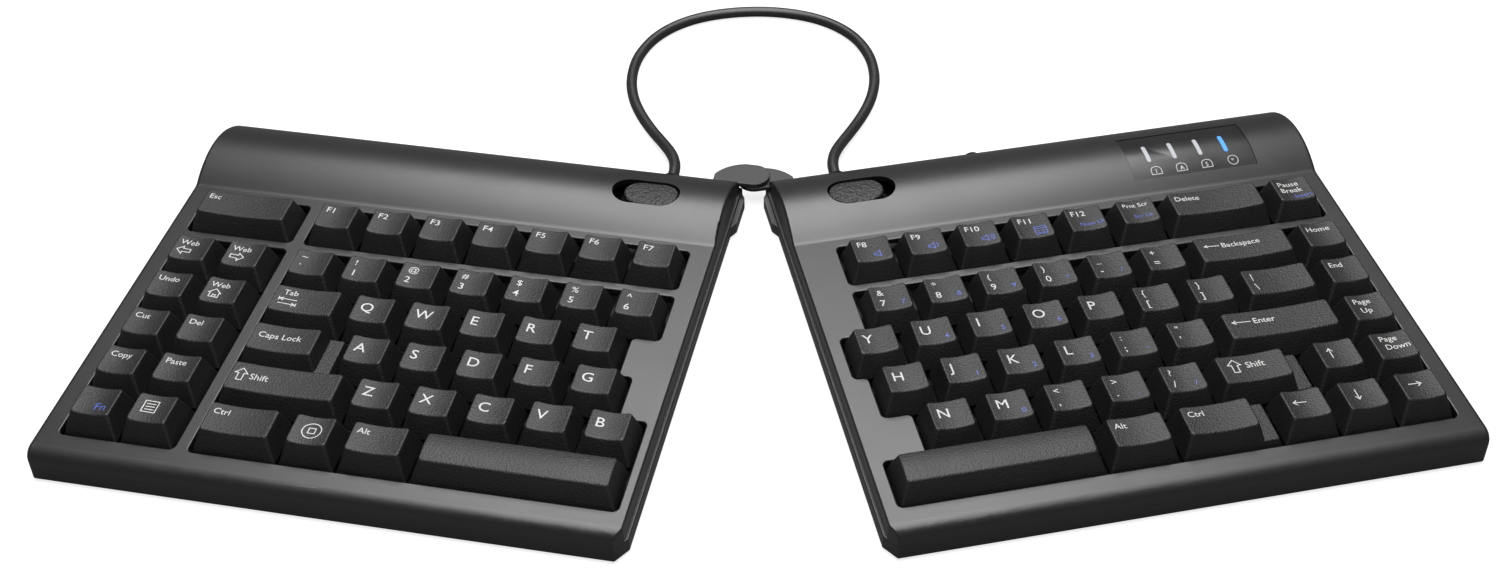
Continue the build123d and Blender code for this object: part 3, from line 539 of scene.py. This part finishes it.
class Cap:
    """The outer form of one key cap, in millimetres about the centre of its cell."""

    def __init__(self, units):
        self.width = units * PITCH - CAP_GAP
        self.raised = self.width - (SHELF_WIDTH if units == STEPPED_UNITS else 0)
        self.shift = (self.raised - self.width) / 2
        self.crowned = units == SPACE_UNITS
        self.top_x = (self.raised - TAPER_X) / 2
        self.top_y = (PITCH - CAP_GAP - TAPER_Y) / 2

    def sink(self, x, y):
        """How far the top lies under the cap's full height here."""
        if self.crowned:
            return CROWN_RADIUS - math.sqrt(CROWN_RADIUS**2 - y**2)
        return DISH * (1 - min(1, abs(x / self.top_x)) ** 2)

    def ring(self, z, inset=0.0, top=0.0):
        """A ring at nominal height z, drawn in by inset; top is the share of the top's own shape."""
        share = (z - SKIRT_Z) / (TOP_Z - SKIRT_Z)
        half_x = (self.raised - TAPER_X * share) / 2 - inset
        half_y = (PITCH - CAP_GAP - TAPER_Y * share) / 2 - inset
        corner = SKIRT_ROUND + (TOP_ROUND - SKIRT_ROUND) * share
        radius = max(LEAST_ROUND, min(corner - inset, half_x, half_y))
        return [
            (x + self.shift, y + LEAN * share, z - top * self.sink(x, y))
            for x, y in draw_ring(half_x, half_y, radius)
        ]

    def top_ring(self, keep):
        """A ring of the top face, shrunk about the middle to this share."""
        half_x, half_y = (self.top_x - RIM) * keep, (self.top_y - RIM) * keep
        points = draw_ring(half_x, half_y, max(LEAST_TOP_ROUND, (TOP_ROUND - RIM) * keep))
        return [(x + self.shift, y + LEAN, TOP_Z - self.sink(x, y)) for x, y in points]

    def rings(self):
        """From the skirt's inner edge up the wall, round the rim and inwards over the top."""
        stack = [self.ring(SKIRT_Z, WALL), self.ring(SKIRT_Z), self.ring(SKIRT_Z + SKIRT_EDGE)]
        stack += [self.ring(MIDDLE_Z), self.ring(TOP_Z - 2 * RIM, top=WALL_DISH)]
        stack.append(self.ring(TOP_Z - RIM, top=1))
        for i in range(1, RIM_STEPS + 1):
            angle = math.pi / 2 * i / RIM_STEPS
            inset = RIM * (1 - math.cos(angle))
            stack.append(self.ring(TOP_Z - RIM * (1 - math.sin(angle)), inset, 1))
        return stack + [self.top_ring(keep) for keep in TOP_SHARES]


class Builder:
    """Collects the points and faces of one piece in a module's millimetres."""

    def __init__(self):
        self.points = []
        self.faces = []

    def bridge(self, rings, x=0.0, y=0.0):
        """Joins rings with quads and closes the last one."""
        start = len(self.points)
        count = len(rings[0])
        for ring in rings:
            self.points += [(px + x, py + y, pz) for px, py, pz in ring]
        for level in range(len(rings) - 1):
            for i in range(count):
                a = start + level * count + i
                b = start + level * count + (i + 1) % count
                self.faces.append((a, b, b + count, a + count))
        last = start + (len(rings) - 1) * count
        self.faces.append(tuple(range(last, last + count)))

    def block(self, x, y, size_x, size_y, low, high):
        """A closed box about x, y."""
        corners = [(-1, -1), (1, -1), (1, 1), (-1, 1)]
        rings = [[(sx * size_x / 2, sy * size_y / 2, z) for sx, sy in corners] for z in (low, high)]
        self.faces.append(tuple(len(self.points) + i for i in (3, 2, 1, 0)))
        self.bridge(rings, x, y)

    def make(self, name, side, finish, body, slot, smooth=True):
        """Turns the piece into an object that rides on a body."""
        mesh = bpy.data.meshes.new(name)
        mesh.from_pydata([PLACE[side] @ Vector(point) for point in self.points], [], self.faces)
        mesh.polygons.foreach_set("use_smooth", [smooth] * len(mesh.polygons))
        mesh.materials.append(finish)
        mesh.update()
        piece = add_object(name, mesh)
        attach(piece, body)
        return piece


def add_cap(builder, cap, x, y):
    """Adds a cap with its hollow and stem round a cell's centre."""
    builder.bridge(cap.rings(), x, y)
    roof_z = TOP_Z - ROOF
    builder.bridge([cap.ring(SKIRT_Z, WALL), cap.ring(roof_z, WALL)], x, y)
    builder.block(x, y, STEM_SIDE, STEM_SIDE, STEM_Z, roof_z)
    if cap.raised < cap.width:
        add_shelf(builder, cap, x, y)


def add_shelf(builder, cap, x, y):
    """The low step on the right of a stepped cap."""
    inner = cap.shift + cap.raised / 2 - SHELF_LAP
    stack = []
    for z, inset in SHELF_RINGS:
        share = (z - SKIRT_Z) / (TOP_Z - SKIRT_Z)
        outer = (cap.width - TAPER_X * share) / 2 - inset
        half_y = (PITCH - CAP_GAP - TAPER_Y * share) / 2 - inset - SHELF_GAP
        centre = (inner + outer) / 2
        ring = draw_ring((outer - inner) / 2, half_y, SHELF_ROUND)
        stack.append([(px + centre, py + LEAN * share, z) for px, py in ring])
    builder.bridge(stack, x, y)


print("rings in a cap:", len(Cap(1).rings()))

# %% [markdown]
# ## Legends
#
# Legends are printed ink with sharp edges. Text objects give the letters as outlines that can become a
# mesh, and every point of it is then dropped onto the cap's own dish, a few hundredths of a millimetre
# proud. Symbols that a font lacks, such as arrows and the house, are drawn as thick strokes.

# %% Drop ink onto a cap
INK_LIFT = 0.035
INK_SPREAD = 0.003         # ink swells each stroke a little, at text size 1
UNSPREAD = {"M"}           # its outline would cross itself when swelled
CAPITAL_SHARE = 0.72       # height of a capital letter at text size 1
INK_STEPS = 3              # points on each curved bit of an outline
text_cache = {}


def text_mesh(words):
    """Points and faces of a line of text of size 1, from its left end."""
    if words not in text_cache:
        curve = bpy.data.curves.new("ink", "FONT")
        curve.body = words
        curve.resolution_u = INK_STEPS
        curve.offset = 0.0 if words in UNSPREAD else INK_SPREAD
        holder = bpy.data.objects.new("ink", curve)
        mesh = bpy.data.meshes.new_from_object(holder)
        points = [tuple(vertex.co) for vertex in mesh.vertices]
        faces = [tuple(polygon.vertices) for polygon in mesh.polygons]
        text_cache[words] = (points, faces)
        bpy.data.meshes.remove(mesh)
        bpy.data.objects.remove(holder)
        bpy.data.curves.remove(curve)
    return text_cache[words]


class Ink:
    """Printed marks of one colour. A place function lays a flat point onto the printed surface."""

    def __init__(self):
        self.builder = Builder()

    def drop(self, place, points, faces):
        """Adds flat points and their faces, laid onto the surface."""
        start = len(self.builder.points)
        self.builder.points += [place(px, py) for px, py in points]
        self.builder.faces += [tuple(start + i for i in face) for face in faces]

    def write(self, place, words, left, base, capital):
        """Words whose baseline starts at (left, base), with capitals of that height."""
        points, faces = text_mesh(words)
        size = capital / CAPITAL_SHARE
        self.drop(place, [(left + px * size, base + py * size) for px, py, pz in points], faces)

    def stroke(self, place, path, width):
        """A thick line along a path of points, one quad per straight run."""
        for (ax, ay), (bx, by) in zip(path, path[1:]):
            run = math.hypot(bx - ax, by - ay)
            ux, uy = (bx - ax) / run * width / 2, (by - ay) / run * width / 2
            corners = [
                (ax - ux + uy, ay - uy - ux), (bx + ux + uy, by + uy - ux),
                (bx + ux - uy, by + uy + ux), (ax - ux - uy, ay - uy + ux),
            ]
            self.drop(place, corners, [(0, 1, 2, 3)])


def cap_surface(cap, x, y):
    """Lays a point, given about the middle of a cap's top, onto the cap whose cell is at x, y."""
    def place(px, py):
        return (x + cap.shift + px, y + LEAN + py, TOP_Z - cap.sink(px, py) + INK_LIFT)
    return place


print("capital height at size 1:", round(max(point[1] for point in text_mesh("H")[0]), 3))

# %% [markdown]
# Each symbol is a few short paths about its own centre. The house, arrows and speaker are the plain
# signs any keyboard may carry. The key between Ctrl and Alt gets a ring with a small square.

# %% Draw the symbols
def ring_path(radius, steps=20):
    """A closed circle, ending where it starts."""
    turns = [2 * math.pi * i / steps for i in range(steps)]
    return [(radius * math.cos(turn), radius * math.sin(turn)) for turn in turns] + [(radius, 0)]


def wave_path(radius, centre_x=0.2, steps=6):
    """A quarter circle that opens to the right, for a sound wave."""
    turns = [math.radians(90 * i / steps - 45) for i in range(steps + 1)]
    return [(centre_x + radius * math.cos(turn), radius * math.sin(turn)) for turn in turns]


def box_path(half_x, half_y):
    """A closed rectangle from its upper left corner."""
    return [(-half_x, half_y), (half_x, half_y), (half_x, -half_y), (-half_x, -half_y), (-half_x, half_y)]


HOUSE = [
    [(-1.5, 0.1), (0, 1.6), (1.5, 0.1)],
    [(-1.1, 0.2), (-1.1, -1.3), (1.1, -1.3), (1.1, 0.2)],
    [(-0.3, -1.3), (-0.3, -0.4), (0.4, -0.4), (0.4, -1.3)],
]
BLOCK_ARROW = [[
    (-1.9, 0), (-0.4, 1.4), (-0.4, 0.6), (1.6, 0.6), (1.6, -0.6), (-0.4, -0.6), (-0.4, -1.4), (-1.9, 0),
]]
LONG_ARROW = [[(-2.6, 0), (2.6, 0)], [(-1.6, 0.6), (-2.6, 0), (-1.6, -0.6)]]
ARROW = [[(-1.6, 0), (1.6, 0)], [(-0.7, 0.7), (-1.6, 0), (-0.7, -0.7)]]
MENU = [box_path(1.5, 1.6)] + [[(-0.9, y), (0.9, y)] for y in (0.8, 0, -0.8)]
SYSTEM = [ring_path(3.1), [(-1.1, -1.1), (1.1, -1.1), (1.1, 1.1), (-1.1, 1.1), (-1.1, -1.1)]]
SPEAKER = [[(-1.3, 0.4), (-0.6, 0.4), (0.2, 1.1), (0.2, -1.1), (-0.6, -0.4), (-1.3, -0.4), (-1.3, 0.4)]]
SPEAKER_LOW = SPEAKER + [wave_path(0.9)]
SPEAKER_HIGH = SPEAKER_LOW + [wave_path(1.5)]
CALCULATOR = [
    box_path(1.4, 1.4), [(-1.0, 0.7), (1.0, 0.7)],
    [(-0.8, -0.2), (-0.3, -0.2)], [(0.3, -0.2), (0.8, -0.2)],
    [(-0.8, -0.9), (-0.3, -0.9)], [(0.3, -0.9), (0.8, -0.9)],
]


def turned_paths(paths, quarter_turns):
    """Paths turned anticlockwise by quarter turns."""
    for _ in range(quarter_turns):
        paths = [[(-py, px) for px, py in path] for path in paths]
    return paths


SIGNS = {
    "<house>": HOUSE, "<back>": BLOCK_ARROW, "<forward>": turned_paths(BLOCK_ARROW, 2),
    "<shift>": turned_paths(BLOCK_ARROW, 3), "<long>": LONG_ARROW, "<left>": ARROW,
    "<right>": turned_paths(ARROW, 2), "<up>": turned_paths(ARROW, 3), "<down>": turned_paths(ARROW, 1),
    "<menu>": MENU, "<system>": SYSTEM, "<mute>": SPEAKER, "<quiet>": SPEAKER_LOW, "<loud>": SPEAKER_HIGH,
    "<calculator>": CALCULATOR, "<tab_left>": LONG_ARROW + [[(-2.9, 0.6), (-2.9, -0.6)]],
    "<tab_right>": turned_paths(LONG_ARROW, 2) + [[(2.9, 0.6), (2.9, -0.6)]],
}
print("signs:", len(SIGNS))

# %% [markdown]
# The layout is one table per module. A key is its row, its left edge and width in key units, and its
# legends. Each legend is its colour, the words or sign, its place right of and up from the upper left
# corner of the key's top, and its size: for words a capital's height in millimetres, for a sign a factor.
# The helpers below write the usual kinds, so the table stays short.

# %% Write the layout
HOTKEY_GAP = 5.26                # millimetres from the main block
HOT = -2 - HOTKEY_GAP / PITCH    # left edge of the hotkeys, in key units


def letter(words, corner=""):
    """A big letter at the upper left, maybe with a small blue one at the lower right."""
    return [("white", words, 2.0, -7.2, 4.1)] + ([("blue", corner, 9.4, -10.2, 2.2)] if corner else [])


def pair(upper, lower, corner=""):
    """Two signs one over the other on the left, maybe with a blue one."""
    marks = [("white", upper, 2.3, -4.6, 2.7), ("white", lower, 2.3, -9.8, 3.0)]
    return marks + ([("blue", corner, 9.4, -10.0, 2.2)] if corner else [])


def word(words, second=""):
    """A small word at the upper left, maybe over another."""
    return [("white", words, 1.6, -4.6, 2.4)] + ([("white", second, 1.6, -7.9, 2.4)] if second else [])


def function_key(words, corner=""):
    """A function key's name, maybe with a blue sign."""
    return [("white", words, 1.7, -4.4, 2.7)] + ([("blue", corner, 8.6, -8.6, 1.4)] if corner else [])


def row_of(row, left, legends):
    """Single keys side by side from a left edge."""
    return [(row, left + i, 1, marks) for i, marks in enumerate(legends)]


left_layout = {
    "esc_key": [(0, HOT, 2, word("Esc"))],
    "left_function_keys": row_of(0, 0, [function_key(f"F{i}") for i in range(1, 8)]),
    "hotkeys": [
        (1, HOT, 1, word("Web") + [("white", "<back>", 4.2, -7.6, 1.35)]),
        (1, HOT + 1, 1, word("Web") + [("white", "<forward>", 4.2, -7.6, 1.35)]),
        (2, HOT, 1, word("Undo")),
        (2, HOT + 1, 1, word("Web") + [("white", "<house>", 4.2, -7.8, 1.4)]),
        (3, HOT, 1, word("Cut")),
        (3, HOT + 1, 1, word("Del")),
        (4, HOT, 1, word("Copy")),
        (4, HOT + 1, 1, word("Paste")),
        (5, HOT, 1, [("blue", "Fn", 6.6, -9.8, 3.1)]),
        (5, HOT + 1, 1, [("white", "<menu>", 5.2, -5.4, 1.5)]),
    ],
    "left_number_keys": row_of(1, 0, [pair(*both) for both in ("~`", "!1", "@2", "#3", "$4", "%5", "^6")]),
    "tab_key": [(2, 0, 1.5, [
        ("white", "Tab", 3.0, -4.2, 2.4),
        ("white", "<tab_left>", 5.6, -6.4, 1.1), ("white", "<tab_right>", 5.6, -8.6, 1.1),
    ])],
    "left_upper_letter_keys": row_of(2, 1.5, [letter(sign) for sign in "QWERT"]),
    "caps_lock_key": [(3, 0, 1.75, [("white", "Caps Lock", 2.2, -6.4, 2.5)])],
    "left_home_letter_keys": row_of(3, 1.75, [letter(sign) for sign in "ASDFG"]),
    "left_shift_key": [(4, 0, 2.25, [
        ("white", "<shift>", 3.8, -5.6, 1.5), ("white", "Shift", 6.8, -7.0, 2.6),
    ])],
    "left_lower_letter_keys": row_of(4, 2.25, [letter(sign) for sign in "ZXCVB"]),
    "left_modifier_keys": [
        (5, 0, 1.5, word("Ctrl")), (5, 1.5, 1, [("white", "<system>", 6.5, -6.2, 1)]),
        (5, 2.5, 1.25, word("Alt")),
    ],
    "left_space_key": [(5, 3.75, 3.5, [])],
}
right_layout = {
    "right_function_keys": row_of(0, 0, [
        function_key("F8", "<mute>"), function_key("F9", "<quiet>"), function_key("F10", "<loud>"),
        function_key("F11", "<calculator>"), function_key("F12") + [("blue", "Num Lk", 3.6, -9.6, 1.9)],
        [("white", "Prnt Scr", 1.7, -3.8, 2.0), ("blue", "Scr Lk", 4.2, -9.6, 1.9)],
    ]),
    "delete_key": [(0, 6, 2, word("Delete"))],
    "right_number_keys": row_of(1, 0, [
        pair("&", "7", "7"), pair("*", "8", "8"), pair("(", "9", "9"), pair(")", "0", "*"),
        pair("_", "-", "/"), pair("+", "="),
    ]),
    "backspace_key": [(1, 6, 2, [
        ("white", "<long>", 5.2, -4.6, 1.0), ("white", "Backspace", 8.6, -5.7, 2.4),
    ])],
    "navigation_keys": [
        (0, 8, 1, word("Pause", "Break") + [("blue", "Insert", 5.6, -11.0, 1.9)]),
        (1, 8, 1, word("Home")), (2, 8, 1, word("End")),
        (3, 8, 1, [("white", "Page", 1.8, -4.6, 2.4), ("white", "Up", 3.0, -8.8, 2.4)]),
        (4, 8, 1, [("white", "Page", 2.6, -4.1, 2.4), ("white", "Down", 3.3, -7.9, 2.4)]),
    ],
    "right_upper_letter_keys": row_of(2, -0.5, [
        letter("Y"), letter("U", "4"), letter("I", "5"), letter("O", "6"), letter("P"),
        pair("{", "["), pair("}", "]"),
    ]),
    "backslash_key": [(2, 6.5, 1.5, pair("|", "\\"))],
    "right_home_letter_keys": row_of(3, -0.25, [
        letter("H"), letter("J", "1"), letter("K", "2"), letter("L", "3"),
        pair(":", ";", "-"), pair('"', "'"),
    ]),
    "enter_key": [(3, 5.75, 2.25, [
        ("white", "<long>", 5.4, -4.8, 1.2), ("white", "Enter", 9.4, -5.9, 2.5),
    ])],
    "right_lower_letter_keys": row_of(4, 0.25, [
        letter("N"), letter("M", "0"), pair("<", ","), pair(">", ".", "."), pair("?", "/", "/"),
    ]),
    "right_shift_key": [(4, 5.25, 1.75, [
        ("white", "<shift>", 5.2, -5.0, 1.6), ("white", "Shift", 8.8, -6.0, 2.6),
    ])],
    "arrow_keys": [
        (4, 7, 1, [("white", "<up>", 4.2, -5.4, 1.3)]), (5, 6, 1, [("white", "<left>", 4.6, -5.4, 1.3)]),
        (5, 7, 1, [("white", "<down>", 4.6, -5.8, 1.3)]), (5, 8, 1, [("white", "<right>", 5.2, -5.2, 1.3)]),
    ],
    "right_modifier_keys": [(5, 3, 1.25, word("Alt")), (5, 4.25, 1.75, word("Ctrl"))],
    "right_space_key": [(5, -0.5, 3.5, [])],
}
LAYOUTS = {"left": left_layout, "right": right_layout}
print("keys:", {side: sum(map(len, layout.values())) for side, layout in LAYOUTS.items()})

# %% Make every key
FUNCTION_ROW_Y = 25.26
STROKE = 0.34              # width of a sign's lines
INK_FINISH = {"white": legend_finish, "blue": legend_blue_finish}


def print_marks(inks, cap, x, y, marks):
    """Prints a key's legends, placed from the upper left corner of its top."""
    place = cap_surface(cap, x, y)
    for colour, what, right, up, size in marks:
        ink = inks[colour]
        if what in SIGNS:
            for path in SIGNS[what]:
                placed = [(px * size + right - cap.top_x, py * size + up + cap.top_y) for px, py in path]
                ink.stroke(place, placed, STROKE)
        else:
            ink.write(place, what, right - cap.top_x, up + cap.top_y, size)


def cell_centre(row, left, units):
    """The middle of a key's cell. The function row stands off the others."""
    y = FUNCTION_ROW_Y if row == 0 else (1 - row) * PITCH
    return (left + units / 2) * PITCH, y


def make_keys(side, name, keys):
    """One node's caps as one piece, and its printed legends."""
    builder = Builder()
    inks = {"white": Ink(), "blue": Ink()}
    for row, left, units, marks in keys:
        x, y = cell_centre(row, left, units)
        cap = Cap(units)
        add_cap(builder, cap, x, y)
        print_marks(inks, cap, x, y, marks)
    caps = builder.make(f"{name}_caps", side, key_finish, name, "key_cap")
    caps.modifiers.new("even_shading", "WEIGHTED_NORMAL")
    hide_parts(name)
    for colour, ink in inks.items():
        if ink.builder.faces:
            legends = f"{name}_{colour}_legends"
            ink.builder.make(legends, side, INK_FINISH[colour], name, "key_cap", smooth=False)


for side, layout in LAYOUTS.items():
    for name, keys in layout.items():
        make_keys(side, name, keys)

# %% [markdown]
# ## Rubber domes and button springs
#
# A dome collapses under its key and a spring folds behind its button, which rigid nodes can't show. Here
# every key node gets a piece with its domes, riding on its module on a flat sheet, and each button's spring
# becomes a piece of its own. Each dome stops just clear of the stem of the key that presses it.

# %% Make the parts that give way
SHEET_TOP_Z = 5.2
CUT_MARGIN = 0.05          # above it everything belongs to a dome
DOME_PROFILE = ((3.9, SHEET_TOP_Z), (2.35, 8.2), (2.15, 8.42), (1.9, 8.5))    # radius and height
DOME_SIDES = 24


def dome_ring(radius, z):
    """A circle about a dome's own axis, left open."""
    return [(px, py, z) for px, py in ring_path(radius, DOME_SIDES)[:-1]]


def make_domes(side, name, keys):
    """The domes under one node's keys, hollow as real ones are."""
    builder = Builder()
    for row, left, units, marks in keys:
        builder.bridge([dome_ring(radius, z) for radius, z in DOME_PROFILE], *cell_centre(row, left, units))
    domes = builder.make(f"{name}_domes", side, dome_finish, f"{side}_module", "dome_rubber")
    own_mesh(domes)


def stand_in(side, part, name, finish):
    """A copy of a CAD node's mesh as a piece of its own."""
    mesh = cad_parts[f"{side}_{part}"].data.copy()
    mesh.materials.clear()
    mesh.materials.append(finish)
    piece = add_object(f"{side}_{name}", mesh)
    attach(piece, f"{side}_module")
    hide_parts(f"{side}_{part}")
    return piece


def make_flat_sheet(side):
    """The rubber sheet without its domes."""
    sheet = stand_in(side, "dome_sheet", "flat_dome_sheet", dome_finish)
    shape = bmesh.new()
    shape.from_mesh(sheet.data)
    tops = [point for point in shape.verts if point.co.z > (SHEET_TOP_Z + CUT_MARGIN) * MM]
    bmesh.ops.delete(shape, geom=tops, context="VERTS")
    shape.to_mesh(sheet.data)
    shape.free()
    return sheet


def make_folding_spring(side):
    """A copy of the button's spring as a piece of its own; the real one folds towards its post."""
    spring = stand_in(side, "release_spring", "folding_spring", steel_finish)
    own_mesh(spring)


for side, layout in LAYOUTS.items():
    for name, keys in layout.items():
        make_domes(side, name, keys)
    sheet = make_flat_sheet(side)
    make_folding_spring(side)
    print(side, "dome pieces:", len(layout), "on a sheet of", len(sheet.data.vertices), "points")

# %% [markdown]
# ## Release buttons
#
# Each button is a stadium with a rough grip, slightly domed by the hump that it continues. Its rings
# are the same kind as a cap's: a rounded rectangle whose corner radius is half its width is a stadium.

# %% Make the release buttons
HUMP_Y = 59.0              # axis of the hump's arc
HUMP_CENTRE_Z = -14.2
HUMP_RADIUS = 32.7
SLOT_Y = 59.8
BUTTON_HALF_LENGTH = 9.85
BUTTON_HALF_WIDTH = 6.2
BUTTON_INSET = 27.2        # from the module's inner wall
BUTTON_SINK = 0.35         # below the hump's skin
BUTTON_RIM = 0.9
BUTTON_EDGE = 0.3
GRIP_INSETS = (1.4, 2.8, 4.4, 5.9)
FLANGE_Z = 8.0
FLANGE_TOP = 9.4
FLANGE_MARGIN = 6          # that the flange is longer than the button
FLANGE_WIDTH = 17.2
PRONG_INSET = 10.6
PRONG_TIP = (73.5, 9.0, 4.0)     # place to the rear, length and width
PRONG_STEM = (68.0, 4.8, 9.0)
PRONG_STEP = 2             # from the tip's middle to the stem's
PRONG_SINK = 0.05          # keeps the prong's faces inside the flange's


def hump_z(y, inset):
    """Height of the hump's skin, drawn in by inset."""
    return HUMP_CENTRE_Z + math.sqrt((HUMP_RADIUS - inset) ** 2 - (y - HUMP_Y) ** 2)


def button_ring(inset, drop):
    """A ring of the grip, drawn in by inset and drop below its skin."""
    half_x, half_y = BUTTON_HALF_LENGTH - inset, BUTTON_HALF_WIDTH - inset
    ring = draw_ring(half_x, half_y, half_y)
    return [(px, py, hump_z(SLOT_Y + py, BUTTON_SINK) - drop) for px, py in ring]


def button_rings():
    """From the flange up the wall, round the rim and inwards over the grip."""
    foot = draw_ring(BUTTON_HALF_LENGTH, BUTTON_HALF_WIDTH, BUTTON_HALF_WIDTH)
    rings = [[(px, py, FLANGE_Z) for px, py in foot]]
    rings += [button_ring(0, BUTTON_RIM + BUTTON_EDGE), button_ring(0, BUTTON_RIM)]
    for i in range(1, RIM_STEPS + 1):
        angle = math.pi / 2 * i / RIM_STEPS
        rings.append(button_ring(BUTTON_RIM * (1 - math.cos(angle)), BUTTON_RIM * (1 - math.sin(angle))))
    return rings + [button_ring(inset, 0) for inset in GRIP_INSETS]


for side in ("left", "right"):
    builder = Builder()
    x = INNER_X[side] - SENSE[side] * BUTTON_INSET
    builder.bridge(button_rings(), x, SLOT_Y)
    length = 2 * BUTTON_HALF_LENGTH + FLANGE_MARGIN
    builder.block(x, SLOT_Y, length, FLANGE_WIDTH, FLANGE_Z, FLANGE_TOP)
    prong = INNER_X[side] - SENSE[side] * PRONG_INSET
    builder.block(prong, *PRONG_TIP, FLANGE_Z + PRONG_SINK, FLANGE_TOP - PRONG_SINK)
    stem = prong - SENSE[side] * PRONG_STEP
    builder.block(stem, *PRONG_STEM, FLANGE_Z + 2 * PRONG_SINK, FLANGE_TOP - 2 * PRONG_SINK)
    button = builder.make(f"{side}_release_grip", side, button_finish, f"{side}_release_button", "button")
    button.modifiers.new("even_shading", "WEIGHTED_NORMAL")
    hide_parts(f"{side}_release_button")
    print(side, "button at", round(x, 2))

# %% [markdown]
# ## Signs on the indicator panel
#
# Under each light bar stands a small outlined sign: number lock, capitals lock, scroll lock and the
# function layer. They are printed, so they follow the panel's curve as ink follows a cap's dish.

# %% Print the panel's signs
PANEL_INSET = 0.2          # panel's skin below the hump's
SIGN_Y = 48.9
SIGN_XS = (120.4, 129.9, 139.5, 149.4)
SIGN_STROKE = 0.24
SIGN_LETTER = (-0.65, -1.05, 1.7)     # place from the sign's middle, and height
LOCK_OUTLINE = [
    (-1.9, -1.5), (1.9, -1.5), (1.9, 0.4), (1.3, 1.3), (0, 1.7), (-1.3, 1.3), (-1.9, 0.4), (-1.9, -1.5),
]
ROUND_OUTLINE = ring_path(1.85)


def panel_surface(x):
    """Lays a point, given about a sign's middle, onto the panel."""
    def place(px, py):
        return (x + px, SIGN_Y + py, hump_z(SIGN_Y + py, PANEL_INSET) + INK_LIFT)
    return place


signs = Ink()
for x, inner, outline in zip(SIGN_XS, "1AS*", [LOCK_OUTLINE] * 3 + [ROUND_OUTLINE]):
    signs.stroke(panel_surface(x), outline, SIGN_STROKE)
    signs.write(panel_surface(x), inner, *SIGN_LETTER)
signs.builder.make("indicator_signs", "right", legend_finish, "right_module", "panel", smooth=False)
print("panel signs:", len(SIGN_XS))

# %% [markdown]
# ## Light, floor and background
#
# A big soft light behind the keyboard is what the flat tops mirror towards the camera, so it draws the
# grey sheen on black plastic. A weak fill from the front keeps the walls just short of black. The floor
# and sky are a plain grey to the light that reaches the object, a little brighter in mirror images, and
# white to the camera, so the background is white without any more light on the object.

# %% Set the lights
def add_softbox(name, low_edge, high_edge, width, radiance):
    """A panel between two edges given as (y, z), facing the keyboard, as bright as radiance."""
    low, high = Vector((0, *low_edge)), Vector((0, *high_edge))
    centre = (low + high) / 2
    data = bpy.data.lights.new(name, "AREA")
    data.shape = "RECTANGLE"
    data.size = width
    data.size_y = (high - low).length
    data.energy = radiance * math.pi * data.size * data.size_y
    up = (high - low).normalized()
    side = Vector((1, 0, 0))
    back = side.cross(up)
    if back.dot(centre) < 0:   # an area light shines away from its back, which has to face outwards
        side, back = -side, -back
    light = add_object(name, data)
    light.matrix_world = Matrix.Translation(centre) @ Matrix((side, up, back)).transposed().to_4x4()
    print(name, round(data.energy, 1), "W")


add_softbox("rear_softbox", low_edge=(0.95, 0.9), high_edge=(-0.9, 1.32), width=0.8, radiance=4.8)
add_softbox("front_fill", low_edge=(-1.3, 0.9), high_edge=(-1.0, 1.5), width=1.6, radiance=0.1)

# %% Make the floor and the background
FLOOR_HALF = 3             # metres


def seen_level(tree, plain, mirrored, seen):
    """One grey for light that reaches the object, one for its mirror images, one for the camera."""
    rays = tree.nodes.new("ShaderNodeLightPath")
    either = tree.nodes.new("ShaderNodeMath")
    either.operation = "MAXIMUM"
    tree.links.new(rays.outputs["Is Glossy Ray"], either.inputs[0])
    tree.links.new(rays.outputs["Is Transmission Ray"], either.inputs[1])
    indirect = two_colours(tree, either.outputs["Value"], (plain,) * 3, (mirrored,) * 3)
    mix = tree.nodes.new("ShaderNodeMix")
    mix.data_type = "RGBA"
    feed(tree, mix, A=indirect, B=(seen, seen, seen, 1), Factor=rays.outputs["Is Camera Ray"])
    return mix.outputs["Result"]


def show_white(name):
    """A pale surface that mirror images show lighter, and the camera white."""
    material, tree, shader = shader_of(name)
    paint = seen_level(tree, plain=0.12, mirrored=0.15, seen=0.4)
    glow = seen_level(tree, plain=0.0, mirrored=0.01, seen=0.8)
    feed(tree, shader, Base_Color=paint, Emission_Color=glow, Emission_Strength=1.0)
    feed(tree, shader, Roughness=1.0, Specular_IOR_Level=0.0)
    return material


floor_corners = [(x * FLOOR_HALF, y * FLOOR_HALF, 0) for x, y in ((-1, -1), (1, -1), (1, 1), (-1, 1))]
floor_mesh = bpy.data.meshes.new("floor")
floor_mesh.from_pydata(floor_corners, [], [(0, 1, 2, 3)])
floor_mesh.materials.append(show_white("floor_white"))
floor = add_object("floor", floor_mesh)

world = bpy.data.worlds.new("studio")
bpy.context.scene.world = world
world.use_nodes = True
sky = world.node_tree.nodes["Background"]
feed(world.node_tree, sky, Color=seen_level(world.node_tree, plain=0.05, mirrored=0.16, seen=1.0))
bpy.context.scene.view_settings.view_transform = "Standard"
print("lights:", len(bpy.data.lights), "floor:", 2 * FLOOR_HALF, "m across")
